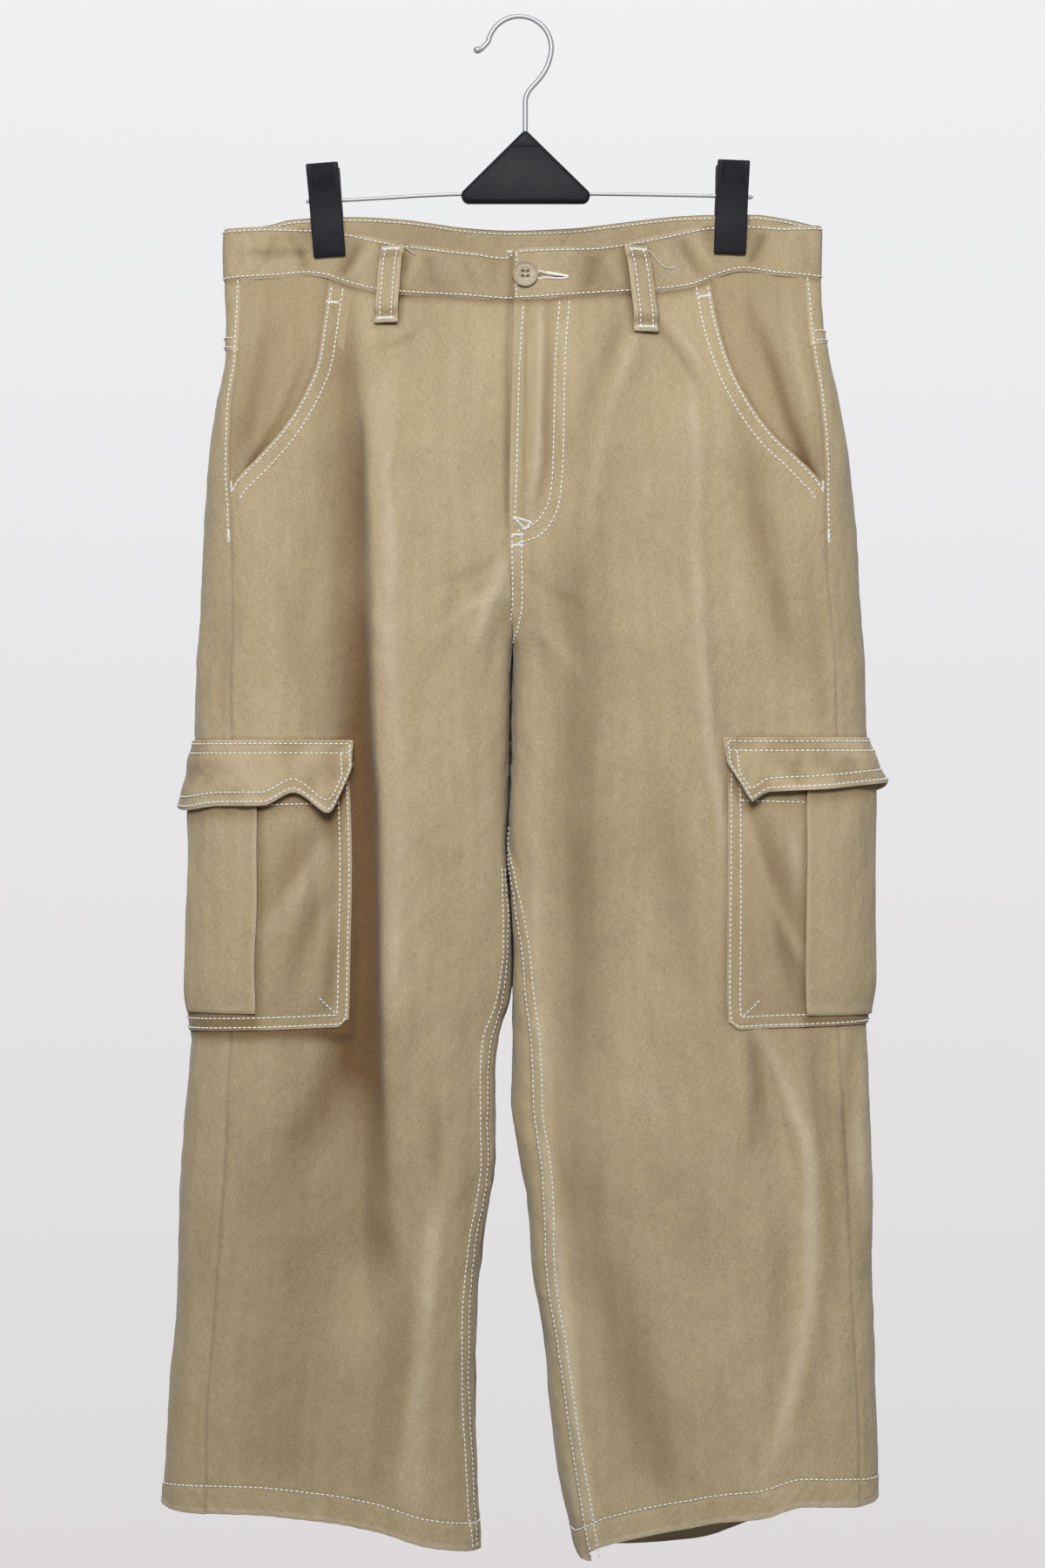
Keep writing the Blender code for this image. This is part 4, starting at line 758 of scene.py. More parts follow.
class Shader:
    """A material that is written as expressions."""

    def __init__(self, name, roughness, metallic=0.0):
        self.material = bpy.data.materials.new(name)
        self.material.use_nodes = True
        self.tree = self.material.node_tree
        self.principled = self.tree.nodes["Principled BSDF"]
        self.principled.inputs["Roughness"].default_value = roughness
        self.principled.inputs["Metallic"].default_value = metallic

    def node(self, kind, settings, inputs, output=0):
        made = self.tree.nodes.new(kind)
        for key, value in settings.items():
            setattr(made, key, value)
        for key, value in inputs.items():
            self.feed(made.inputs[key], value)
        return Value(self, made.outputs[output])

    def feed(self, socket, value):
        if isinstance(value, Value):
            self.tree.links.new(value.socket, socket)
        elif socket.type == "RGBA" and len(value) == 3:
            socket.default_value = (*value, 1.0)
        else:
            socket.default_value = value

    def set(self, name, value):
        self.feed(self.principled.inputs[name], value)

    def place(self, source, scale=(1.0, 1.0, 1.0), turn=0.0):
        at = self.node("ShaderNodeTexCoord", {}, {}, source)
        inputs = {"Vector": at, "Scale": scale, "Rotation": (0.0, 0.0, turn)}
        return self.node("ShaderNodeMapping", {}, inputs)

    def noise(self, at, scale, detail=2.0, roughness=0.5):
        return self.node("ShaderNodeTexNoise", {}, {
            "Vector": at, "Scale": scale, "Detail": detail, "Roughness": roughness,
        })

    def wave(self, at, scale, distortion=0.0):
        settings = {"wave_type": "BANDS", "bands_direction": "X", "wave_profile": "SIN"}
        return self.node("ShaderNodeTexWave", settings, {
            "Vector": at, "Scale": scale, "Distortion": distortion, "Detail": 1.0, "Detail Scale": 2.0,
        })

    def mix(self, share, first, second, how="MIX"):
        settings = {"data_type": "RGBA", "blend_type": how}
        return self.node("ShaderNodeMix", settings, {0: share, 6: first, 7: second}, 2)

    def span(self, value, low, high, to_low=0.0, to_high=1.0):
        return self.node("ShaderNodeMapRange", {}, {
            "Value": value, "From Min": low, "From Max": high, "To Min": to_low, "To Max": to_high,
        })

    def stored(self, name):
        return self.node("ShaderNodeAttribute", {"attribute_name": name}, {}, "Fac")

    def bump(self, height, distance, strength=1.0, normal=None):
        inputs = {"Height": height, "Distance": distance, "Strength": strength}
        if normal is not None:
            inputs["Normal"] = normal
        return self.node("ShaderNodeBump", {}, inputs)


def twill(name, tone=1.0):
    """Washed cotton twill: diagonal ribs, uneven yarn and cloudy fading, with edge wear and painted
    highlights mixed towards a pale colour, and painted shade multiplied in. A tone away from 1 paints a
    lighter or darker copy.
    """
    shader = Shader(name, 0.92)

    def uneven(across, down, detail, roughness=0.5, turn=0.0):
        return shader.noise(shader.place("UV", (across, down, 1.0), turn), 1.0, detail, roughness)

    ribs = shader.wave(shader.place("UV", turn=0.72), math.pi / 10.0 / (cloth().wale * MM), 0.6)
    yarn = uneven(1300.0, 190.0, 3.0, 0.6)
    cross = uneven(260.0, 1100.0, 2.0)
    grain = uneven(800.0, 800.0, 4.0, 0.75)
    cloud = uneven(17.0, 12.0, 3.0)
    streak = uneven(120.0, 12.0, 2.0)
    share = 0.26 * ribs + 0.46 * yarn + 0.26 * cross + 0.62 * grain + 0.20 * cloud + 0.20 * streak
    share = shader.span(share, 0.72, 1.30)
    colour = shader.mix(share, tinted(cloth().dark, tone), tinted(cloth().light, tone))
    # Real edge wear and painted highlights, stored together, mix the cloth towards the pale edge colour.
    rubbed = shader.stored("wear_and_highlight") * shader.span(grain + 0.5 * cloud, 0.45, 1.0, 0.25, 1.0)
    colour = shader.mix(rubbed, colour, tinted(cloth().wear_and_highlight, tone))
    # Painted shade: the stored hollow share multiplies in the hollow tint.
    shader.set("Base Color", shader.mix(shader.stored("hollow"), colour, tinted(cloth().hollow), "MULTIPLY"))
    shader.set("Sheen Weight", 0.25)
    shader.set("Sheen Roughness", 0.5)
    shader.set("Specular IOR Level", 0.22)
    rumple = shader.bump(uneven(42.0, 24.0, 4.0, 0.55, 0.5), 0.006, 0.6)
    puffs = shader.bump(uneven(230.0, 150.0, 3.0, 0.6), 0.0004, 0.5, rumple)
    shader.set("Normal", shader.bump(0.50 * ribs + 0.30 * yarn + 0.30 * grain, 0.00030, 0.7, puffs))
    return shader.material


def tinted(colour, share=1.0):
    return [c * share for c in colour]


def thread_material():
    shader = Shader("thread", 0.7)
    at = shader.place("Object")
    colour = sewing().thread
    shader.set("Base Color", shader.mix(shader.noise(at, 900.0), tinted(colour, 0.86), tinted(colour)))
    shader.set("Normal", shader.bump(shader.noise(at, 3200.0, 1.0), 0.0001, 0.6))
    return shader.material


def plastic_material():
    shader = Shader("moulded_plastic", 0.5)
    shader.set("Specular IOR Level", 0.10)
    at = shader.place("Object")
    cloud = shader.noise(at, 60.0, 4.0, 0.6)
    shader.set("Base Color", shader.mix(cloud, tinted(hanger().plastic), tinted(hanger().plastic, 1.9)))
    shader.set("Roughness", shader.span(cloud, 0.3, 0.7, 0.44, 0.56))
    shader.set("Normal", shader.bump(shader.noise(at, 1400.0, 2.0), 0.00006, 0.5))
    return shader.material


def wire_material():
    shader = Shader("plated_wire", 0.55, 0.6)
    cloud = shader.noise(shader.place("Object"), 130.0, 3.0)
    shader.set("Base Color", shader.mix(cloud, tinted(hanger().chrome, 0.86), tinted(hanger().chrome)))
    shader.set("Roughness", shader.span(cloud, 0.3, 0.7, 0.50, 0.60))
    return shader.material


def button_material():
    shader = Shader("button_plastic", 0.42)
    at = shader.place("Object")
    swirl = shader.noise(shader.place("Object", (260.0, 260.0, 520.0)), 1.0, 4.0, 0.6)
    shader.set("Base Color", shader.mix(swirl, (0.290, 0.228, 0.132), (0.372, 0.300, 0.188)))
    shader.set("Roughness", shader.span(shader.noise(at, 700.0), 0.3, 0.7, 0.36, 0.52))
    return shader.material


def zip_material():
    shader = Shader("zip_tape", 0.8)
    ribs = shader.wave(shader.place("UV", turn=1.5708), math.pi / 10.0 / 0.0012, 0.3)
    shader.set("Base Color", shader.mix(ribs, (0.30, 0.24, 0.15), (0.42, 0.34, 0.22)))
    shader.set("Normal", shader.bump(ribs, 0.0003, 0.6))
    return shader.material


# ---------------- making meshes


# The inside of a sheet shows another part of the weave, and less of the outside's wear, painted highlight and
# painted shade
INNER_UV = 0.37
INNER_WEAR_AND_PAINTED_LIGHT = 0.3


def finished(obj, replaces=()):
    """Puts a finished piece on its body and the solids that it stands for."""
    face_outwards(obj)
    if replaces:
        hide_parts(*replaces)
    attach(obj, BODY)


def mesh_object(name, verts, faces, made_of, uv=None, stored=None, smooth=50.0):
    data = bpy.data.meshes.new(name)
    data.from_pydata(np.asarray(verts).tolist(), [], faces)
    data.materials.append(MATERIALS[made_of])
    if uv is not None:
        layer = data.uv_layers.new(name="cloth")
        corner = np.empty(len(data.loops), np.int32)
        data.loops.foreach_get("vertex_index", corner)
        layer.data.foreach_set("uv", np.asarray(uv, np.float32)[corner].ravel())
    for key, values in (stored or {}).items():
        made = data.attributes.new(key, "FLOAT", "POINT")
        made.data.foreach_set("value", np.asarray(values, np.float32).ravel())
    data.shade_smooth()
    data.set_sharp_from_angle(angle=math.radians(smooth))
    obj = bpy.data.objects.new(name, data)
    bpy.context.scene.collection.objects.link(obj)
    return obj


def face_outwards(obj):
    mesh = bmesh.new()
    mesh.from_mesh(obj.data)
    bmesh.ops.recalc_face_normals(mesh, faces=mesh.faces)
    mesh.to_mesh(obj.data)
    mesh.free()


def flat_cut(points):
    """The width, length and area of a grid of points laid flat."""
    across = np.linalg.norm(np.diff(points, axis=1), axis=2)
    down = np.linalg.norm(np.diff(points, axis=0), axis=2)
    cells = (across[:-1] + across[1:]) * (down[:, :-1] + down[:, 1:]) / 4.0
    width, length, area = across.sum(1).max(), down.sum(0).max(), cells.sum()
    return width * MM, length * MM, min(area * MM * MM, width * length * MM * MM)


def cloth_sheet(
    name, outer, inner, wear_and_highlight=0.0, hollow=0.0, made_of="twill", rim=0.38, hung="waistband", across=None,
    slot="cloth",
):
    """A thin closed sheet between two grids of points, its rim rounded over."""
    rows, columns = outer.shape[:2]
    count = rows * columns
    index = np.arange(count).reshape(rows, columns)
    edge = np.concatenate([index[0], index[1:, -1], index[-1, -2::-1], index[-2:0:-1, 0]])
    row, column = np.divmod(edge, columns)
    inside = np.clip(row, 1, rows - 2) * columns + np.clip(column, 1, columns - 2)
    flat_outer, flat_inner = outer.reshape(-1, 3), inner.reshape(-1, 3)
    away = unit(flat_outer[edge] - flat_outer[inside])
    thick = np.linalg.norm(flat_outer[edge] - flat_inner[edge], axis=1, keepdims=True)
    middle = (flat_outer[edge] + flat_inner[edge]) / 2.0 + away * thick * rim
    verts = np.concatenate([flat_outer, flat_inner, middle]) * MM
    first = index[:-1, :-1].ravel()
    quads = np.stack([first, first + columns, first + columns + 1, first + 1], axis=1)
    mid = 2 * count + np.arange(len(edge))
    edge_on, mid_on = np.roll(edge, -1), np.roll(mid, -1)
    band_out = np.stack([edge, edge_on, mid_on, mid], axis=1)
    band_in = np.stack([mid, mid_on, edge_on + count, edge + count], axis=1)
    faces = np.concatenate([quads, quads[:, ::-1] + count, band_out, band_in])
    u = travelled(outer, 1) if across is None else np.broadcast_to(across, (rows, columns))
    uv = np.stack([u, -travelled(outer)], axis=-1).reshape(-1, 2) * MM
    uv = np.concatenate([uv, uv + INNER_UV, uv[edge]])
    stored = {}
    for key, values in (("wear_and_highlight", wear_and_highlight), ("hollow", hollow)):
        flat = np.clip(np.broadcast_to(values, (rows, columns)).reshape(-1), 0.0, 1.0)
        stored[key] = np.concatenate([flat, flat * INNER_WEAR_AND_PAINTED_LIGHT, flat[edge]])
    obj = mesh_object(f"{name}_sheet", verts, faces.tolist(), made_of, uv, stored)
    finished(obj, [name])
    width, length, area = flat_cut((outer + inner) / 2.0)
    return obj


def two_faces(points, outward, wall):
    half = outward * wall / 2.0
    return points + half, points - half


def spread(length, near_first=True):
    """Shares of a length, close together at its end, and at its start unless told otherwise."""
    head = [step for step in EDGE_COLUMNS if near_first] or [0.0]
    start, end = head[-1], length - EDGE_COLUMNS[-1]
    middle = np.linspace(start, end, int((end - start) / COLUMN_STEP) + 1)
    return np.array([*head[:-1], *middle, *(length - step for step in EDGE_COLUMNS[-2::-1])]) / length


# ---------------- sewing


class Seams:
    """Collects stitches and makes one mesh of them."""

    RINGS = ((-0.72, 0.80), (0.0, 1.0), (0.72, 0.80))
    SIDES = 5

    def __init__(self, name, seed, made_of="thread"):
        self.name = name
        self.made_of = made_of
        self.random = np.random.default_rng(seed)
        self.stitches = []

    def run(self, points, outward, pitch=None, length=None, width=None, across=False):
        """A row of stitches along dense points. Across turns each stitch over the row, as in a bar."""
        gone = travelled(points)
        count = max(1, int(round(gone[-1] / (pitch or sewing().pitch))))
        places = (np.arange(count) + 0.5) * gone[-1] / count + self.random.uniform(-0.12, 0.12, count)

        def at(where, values):
            return np.stack([np.interp(where, gone, values[:, k]) for k in range(3)], axis=1)

        forwards = unit(at(places + 0.6, points) - at(places - 0.6, points))
        outwards = unit(at(places, outward))
        if across:
            forwards = unit(np.cross(outwards, forwards))
        sway = np.cross(outwards, forwards) * self.random.uniform(-0.07, 0.07, (count, 1))
        size = np.tile((length or sewing().length, width or sewing().width), (count, 1))
        row = [at(places, points), unit(forwards + sway), outwards, size]
        self.stitches.append(np.concatenate(row, axis=1))

    def build(self):
        rows = np.concatenate(self.stitches)
        middles, forwards, outwards, lengths, widths = np.split(rows, (3, 6, 9, 10), axis=1)
        outwards = unit(outwards - forwards * (outwards * forwards).sum(1, keepdims=True))
        n, end = self.SIDES, 1 + self.SIDES * (len(self.RINGS) - 1)
        local = [(-1.0, 0.0, 0.0)]
        for along, size in self.RINGS:
            for angle in math.tau * np.arange(n) / n:
                local.append((along, size * math.cos(angle), size * math.sin(angle)))
        along, side, up = np.array([*local, (1.0, 0.0, 0.0)]).T
        verts = middles[:, None, :] + forwards[:, None, :] * (along * lengths / 2.0)[..., None]
        verts = verts + np.cross(forwards, outwards)[:, None, :] * (side * widths / 2.0)[..., None]
        verts = verts + outwards[:, None, :] * (widths * (0.42 * up + 0.42 - 0.55 * along**2))[..., None]
        faces = []
        for k in range(n):
            on = (k + 1) % n
            faces.append((0, 1 + on, 1 + k))
            faces += [(a + k, a + on, a + n + on, a + n + k) for a in range(1, end, n)]
            faces.append((end + k, end + on, end + n))
        size = len(along)
        starts = range(0, size * len(rows), size)
        every = [[corner + start for corner in face] for start in starts for face in faces]
        obj = mesh_object(self.name, verts.reshape(-1, 3) * MM, every, self.made_of, smooth=80.0)
        finished(obj)


def drawn(points, step=1.0):
    """A smooth line through hand-placed points, as dense points."""
    points = np.asarray(points, float)
    gone = travelled(points)
    at = np.linspace(0.0, gone[-1], max(3, int(gone[-1] / step)))
    return np.stack([through(gone, points[:, k], at) for k in range(points.shape[1])], axis=1)


def beside(points, away):
    """A flat line moved sideways by this much."""
    way = unit(np.gradient(points, axis=0))
    return points + np.stack([-way[:, 1], way[:, 0]], axis=1) * away


def leg_of(x):
    return "right" if x < -3.5 else "left"


def on_cloth(x, drop, face, lift):
    """Points and normals of the creased cloth at these x and drops of one face."""
    x, drop, lift = alike(x, drop, lift)
    points, outward = np.zeros((len(x), 3)), np.zeros((len(x), 3))
    legs = np.array([leg_of(value) for value in x])
    for leg in set(legs):
        here = legs == leg
        turn = turn_at(leg, x[here], drop[here], face)
        points[here], outward[here] = lifted(leg, turn, drop[here], lift[here])
    return points, outward


def lifted(leg, turn, drop, lift):
    """Points and true normals of the creased cloth at these turns."""
    points = placed(leg, turn, drop, lift)
    around = placed(leg, turn + 0.004, drop, lift) - placed(leg, turn - 0.004, drop, lift)
    down = placed(leg, turn, drop + 0.8, lift) - placed(leg, turn, drop - 0.8, lift)
    return points, unit(np.cross(down, around) * inwards(leg))


MATERIALS = {}
PANEL_LIFT = DRAWN_WALL / 2.0


# ---------------- panels


MOUTH_END = 331.0


def panel_grid(leg, face):
    """Turns and drops of a leg panel, row by row from its side edge to its inner edge."""
    tape, hem = TAPES[leg], HEM_LINES[leg, face]
    hem_level = (hem[0][1] + hem[-1][1]) / 2.0
    turned_up = hem_level - HEM_HEIGHT
    top_line, top_level = (BAND_LOW_FRONT, 190.0) if face == "front" else (YOKE_LOW, 247.0)
    middle = np.arange(top_level, turned_up - 4.0, ROW_STEP)[1:]
    low = np.arange(turned_up - 3.0, hem_level, HEM_STEP)
    levels = np.concatenate([top_level + np.array((0.0, 0.9, 2.0)), middle, low, [hem_level]])
    rows = np.unique(np.round(levels, 3))[:, None]
    shares = spread(236.0)
    guess = rows + 0.0 * shares
    for _ in range(4):
        at_side, at_inner = guess[:, :1], guess[:, -1:]
        start, end = side_seam_turn(leg, at_side), inseam_turn(leg, at_inner)
        if face == "front":
            seam_x = float(surface_x(leg, side_seam_turn(leg, MOUTH_END), MOUTH_END))
            mouth = turn_at(leg, line([*POCKET_MOUTHS[leg], (MOUTH_END, seam_x)], at_side), at_side)
            start = np.where(at_side < MOUTH_END, np.maximum(mouth, start), start)
            end = np.where(at_inner < CROTCH_DROP, 1.0, end)
        else:
            end = np.where(at_inner < CROTCH_DROP, -1.0, end - 2.0)
        first, passes = tape.along(start, at_side), end < -1.0
        last = tape.along(np.where(passes, -1.0, end), at_inner)
        last = last - np.where(passes, tape.along(1.0, at_inner) - tape.along(end + 2.0, at_inner), 0.0)
        along, fold = first + (last - first) * shares, tape.along(-1.0, guess)
        turns = tape.turn(np.where(along < fold, along - fold + tape.along(1.0, guess), along), guess)
        x = surface_x(leg, turns, guess)
        top_part = ease(1.0 - (rows - top_level) / 110.0)
        low_part = ease((rows - 760.0) / (turned_up - 760.0))
        guess = rows + (line(top_line, x) - top_level) * top_part + (line(hem, x) - hem_level) * low_part
    return turns, guess


def hem_up(leg, turns, drops):
    """Distance above the hem's lowest edge."""
    turns = fold_round(turns)
    return hem_drop(leg, turns, surface_x(leg, turns, drops)) - drops


def edge_wear_and_highlight(shape, edges, height=0.0):
    """Rubbed pale by wear along the top, right, low and left edges, and painted paler as a highlight on what
    stands out.
    """
    wear_and_highlight = np.zeros(shape) + np.clip((height - 0.9) / 2.6, 0.0, 0.35)
    top, right, low, left = edges
    wear_and_highlight[:2] += 0.45 * top
    wear_and_highlight[-3:] += 0.65 * low
    wear_and_highlight[:, :2] += 0.45 * left
    wear_and_highlight[:, -2:] += 0.45 * right
    return wear_and_highlight


class JEANS_OT_panels(bpy.types.Operator):
    """Add the four leg panels, with their turned hems"""

    bl_idname = "jeans.panels"
    bl_label = "Leg Panels"

    def execute(self, context):
        for leg in LEGS:
            for face in ("front", "back"):
                build_panel(leg, face)
        return {"FINISHED"}


def build_panel(leg, face):
    turns, drops = panel_grid(leg, face)
    tape, round_turns = TAPES[leg], fold_round(turns)
    points = placed(leg, turns, drops)
    outward = grid_normals(points, inwards(leg) * (1.0 if face == "front" else -1.0))
    if face == "front":
        over = fly_overlap(turns, drops) if leg == "left" else -0.6 * near_centre("right", turns, drops, 7.0)
        points = points + outward * over[..., None]
    up = hem_up(leg, turns, drops)
    thickness = DRAWN_WALL + (DRAWN_HEM - DRAWN_WALL) * (1.0 - ease((up - HEM_HEIGHT + 1.5) / 2.0))
    outer = points + outward * PANEL_LIFT
    inner = outer - outward * thickness[..., None]
    outer, inner = (kept_apart(leg, layer, drops) for layer in (outer, inner))
    # The folds' tone paints shade into hollows and highlights onto ridges, and darkens the cloth towards the
    # hems; seam_shade paints shade into the grooves.
    tone = toned(leg, turns, drops)
    hem = 0.8 if face == "front" else 0.4
    wear_and_highlight = edge_wear_and_highlight(turns.shape, (0.3, 0.5, 1, hem), relief(leg, round_turns, drops))
    hollow = np.clip(tone, 0.0, 1.0) + seam_shade(leg, turns, drops)
    across = tape.along(round_turns, drops)
    across = np.where(turns < -1.0, 2.0 * tape.along(-1.0, drops) - across, across)
    cloth_sheet(f"{face}_panel_{leg}", outer, inner, wear_and_highlight + np.clip(-tone, 0.0, 0.5), hollow, across=across)


# How much darker the cloth grows from the pockets to the hems
LOW_TONE = {"right": 0.17, "left": 0.06}


def toned(leg, turns, drops):
    """The strength of the folds on whichever face each point is on: painted shade over 0 and painted
    highlight under 0, with the cloth darker towards the hems.
    """
    turns = fold_round(turns)
    x = surface_x(leg, turns, drops)
    front, back = strokes(leg, "front", x, drops), strokes(leg, "back", x, drops)
    return np.where(turns >= 0.0, front, back) + LOW_TONE[leg] * ease((drops - 480.0) / 330.0)


def seam_shade(leg, turns, drops):
    """Painted shade in the grooves beside seams, hems, the waistband, pockets and belt loops."""
    turns = fold_round(turns)
    front, tape, size = turns >= 0.0, TAPES[leg], CARGO[leg]
    x, along = surface_x(leg, turns, drops), tape.along(turns, drops)
    total = 0.35 * near(along, 1.2) + 0.25 * near(hem_up(leg, turns, drops) - HEM_ROW, 1.3)
    band = np.where(front, line(BAND_LOW_FRONT, x), line(YOKE_LOW, x))
    total = total + 0.65 * near(drops - band - 0.5, 2.6)
    outside = np.maximum(np.maximum(along - size["front_edge"], size["back_edge"] - along), 0.0)
    tall = ease((drops - FLAP_TOPS[leg] + 2.0) / 6.0) * ease((size["low_back"] + 4.0 - drops) / 6.0)
    wide = ease((along - size["back_edge"] + 2.0) / 6.0) * ease((size["front_edge"] + 2.0 - along) / 6.0)
    total = total + 0.45 * near(outside, 3.5) * tall + 0.45 * wide * near(drops - size["low_back"] - 1.0, 5.0)
    total = total + 0.35 * wide * near(drops - FLAP_TOPS[leg], 2.0)
    total = total + loop_shade("front", x, drops) * front + loop_shade("back", x, drops) * ~front
    if leg == "left":
        total = total + 0.35 * near(tape.along(1.0, drops) - along - 9.0, 1.0) * front * (drops < 350.0)
    below = ease((drops - CROTCH_DROP) / 20.0) * front
    return total + 0.35 * below * near(tape.along(inseam_turn(leg, drops), drops) - along, 1.5)


def loop_shade(face, x, drops):
    """The shadowed groove on both sides of each belt loop."""
    total = np.zeros(np.shape(x + drops))
    for loop in LOOPS:
        if loop["face"] != face:
            continue
        top, low = loop["drop_top"], loop["drop_low"]
        share = np.clip((drops - top) / (low - top), 0.0, 1.0)
        middle = loop["x_top"] + (loop["x_low"] - loop["x_top"]) * share
        tall = ease((drops - top + 4.0) / 4.0) * ease((low + 4.0 - drops) / 4.0)
        total = total + 0.55 * near(np.maximum(np.abs(x - middle) - LOOP_WIDTH / 2.0, 0.0), 3.2) * tall
    return total


def near_centre(leg, turns, drops, reach):
    away = np.abs(surface_x(leg, turns, drops) - leg_value(leg, "inner", drops))
    return (1.0 - ease(away / reach)) * (1.0 - ease((drops - 345.0) / 22.0))


def fly_overlap(turns, drops):
    """The fastened front edge stands proud of the other front, down to the end of the fly."""
    return 1.7 * near_centre("left", turns, drops, 26.0)


def kept_apart(leg, layer, drops):
    """Keeps each half on its own side of the centre seams, above the crotch."""
    centre = (leg_value("right", "inner", drops) + leg_value("left", "inner", drops)) / 2.0
    over = (layer[..., 0] - centre) * inwards(leg) + 0.05
    over = np.where(drops < CROTCH_DROP + 8.0, np.maximum(over, 0.0), 0.0)
    moved = layer.copy()
    moved[..., 0] -= over * inwards(leg)
    return moved


class JEANS_OT_yokes(bpy.types.Operator):
    """Add the two back yokes and the pocket facings"""

    bl_idname = "jeans.yokes"
    bl_label = "Yokes and Pocket Facings"

    def execute(self, context):
        for leg in LEGS:
            build_yoke(leg)
            build_facing(leg)
        return {"FINISHED"}


def build_yoke(leg):
    tape, shares = TAPES[leg], spread(214.0)
    levels = np.concatenate([[0.0, 0.02, 0.04], np.linspace(0.07, 0.93, 24), [0.96, 0.98, 1.0]])[:, None]
    drops = 215.0 + 0.0 * levels * shares
    for _ in range(4):
        first = tape.along(side_seam_turn(leg, drops[:, :1]), drops[:, :1])
        last = tape.along(-1.0, drops[:, -1:])
        turns = tape.turn(first + (last - first) * shares, drops)
        x = surface_x(leg, turns, drops)
        high, low = line(BAND_LOW_BACK, x), line(YOKE_LOW, x)
        drops = high + (low - high) * levels
    points = placed(leg, turns, drops)
    outward = grid_normals(points, -inwards(leg))
    doubled = 0.5 * (1.0 - ease(((1.0 - levels) * (low - high) - ROW_FAR) / 2.0))
    outer = points + outward * (PANEL_LIFT + doubled)[..., None]
    outer, inner = (kept_apart(leg, layer, drops) for layer in (outer, outer - outward * DRAWN_WALL))
    wear_and_highlight = edge_wear_and_highlight(turns.shape, (0.3, 0.5, 1, 0.5))
    shade = 0.6 * near(drops - high, 2.6) + loop_shade("back", x, drops)
    cloth_sheet(f"back_yoke_{leg}", outer, inner, wear_and_highlight, shade, across=tape.along(turns, drops))


def build_facing(leg):
    tape, side = TAPES[leg], inwards(leg)
    drops = np.linspace(FACING_TOP, FACING_LOW, 60)[:, None]
    start = side_seam_turn(leg, drops)
    mouth = turn_at(leg, line(POCKET_MOUTHS[leg], drops) + side * FACING_UNDERLAP, drops)
    turns = start + (mouth - start) * np.linspace(0.0, 1.0, 34)
    drops = drops + 0.0 * turns
    x = surface_x(leg, turns, drops)
    waist = line(BAND_LOW_FRONT, x)
    drops = waist - 1.5 + (drops - FACING_TOP) * (FACING_LOW - waist) / (FACING_LOW - FACING_TOP)
    away = tape.along(turns, drops)
    low = ease((drops - 196.0) / 60.0)
    sunk = -0.4 - 1.6 * ease(away / 16.0) * (0.3 + 0.7 * low) - 1.8 * ease((away - 22.0) / 24.0) * low
    sag = 0.7 * lumps(2, x / 13.0, drops / 26.0) * ease(away / 12.0)
    creases = relief(leg, turns, drops) * (1.0 - ease(away / 14.0))
    points, _ = raised(leg, turns, drops, sunk + sag + creases)
    layers = two_faces(points, grid_normals(points, side), DRAWN_FACING)
    # Painted shade: the whole facing a little darker and more beside the panel's mouth edge, with the folds'
    # painted shade and highlight.
    tone = strokes(leg, "facing", layers[0][..., 0], drops) + 0.22
    tone = tone + 0.35 * near(away[:, -1:] - away - FACING_UNDERLAP + 1.0, 4.5)
    cloth_sheet(f"pocket_facing_{leg}", *layers, -tone, tone, hung=f"front_panel_{leg}", across=away)


# ---------------- waistband and loops


BAND_STEP = 2.6
BAND_HEIGHT = 38.0
BAND_ROWS = (
    0.0, 0.03, 0.07, 0.13, 0.2, 0.26, *np.arange(0.3, 0.52, 0.02), 0.58, 0.67, 0.76, 0.85, 0.93, 0.97, 1.0,
)
UNDERLAP_END = 34.0
UNDERLAP_LIFT = -3.0


def band_course():
    """The middle line of the band: leg, face, x and lift, from its hidden end round to its outer end."""
    course = [("left", "front", x, UNDERLAP_LIFT) for x in np.arange(UNDERLAP_END, -2.0, -BAND_STEP)]
    for leg in ("right", "left"):
        alongs = np.arange(TAPES[leg].along(1.0, 165.0), TAPES[leg].along(-1.0, 165.0), -BAND_STEP)
        turns = TAPES[leg].turn(alongs if leg == "right" else alongs[::-1], 165.0)
        for turn, x in zip(turns, surface_x(leg, turns, 165.0)):
            face = "front" if turn >= 0 else "back"
            ramp = float(ease((x + 34.0) / 24.0)) if leg == "right" and face == "front" else 0.0
            course.append((leg, face, float(x), UNDERLAP_LIFT * ramp))
    return course


def band_drop(face, x, share):
    top = line(BAND_TOP_FRONT if face == "front" else BAND_TOP_BACK, x)
    low = line(BAND_LOW_FRONT if face == "front" else BAND_LOW_BACK, x)
    return top + (low - top) * share


def band_relief(face, x, share, drop):
    """Creases of the band: dents beside the clips, a lengthwise fold, and the pull of its stitching."""
    total = 0.40 * lumps(5, x / 15.0, drop / 16.0) + 0.22 * lumps(6, x / 6.0, drop / 9.0)
    rows = near(share - 0.05, 0.03) + near(share - 0.95, 0.03)
    total = total - 0.28 * rows + 0.22 * rows * lumps(7, x / 3.2, share)
    if face == "front":
        for middle, lean, height, width, reach in BAND_CREASES:
            path = middle + lean * (share - 0.5) * BAND_HEIGHT
            total = total + height * near(x - path, width) * ease((reach - np.abs(share - 0.5) * 2.0) / 0.4)
        fold = ease((x + 196.0) / 12.0) * (1.0 - ease((x + 152.0) / 14.0))
        total = total - 1.3 * fold * near(share - 0.52, 0.10)
    return total


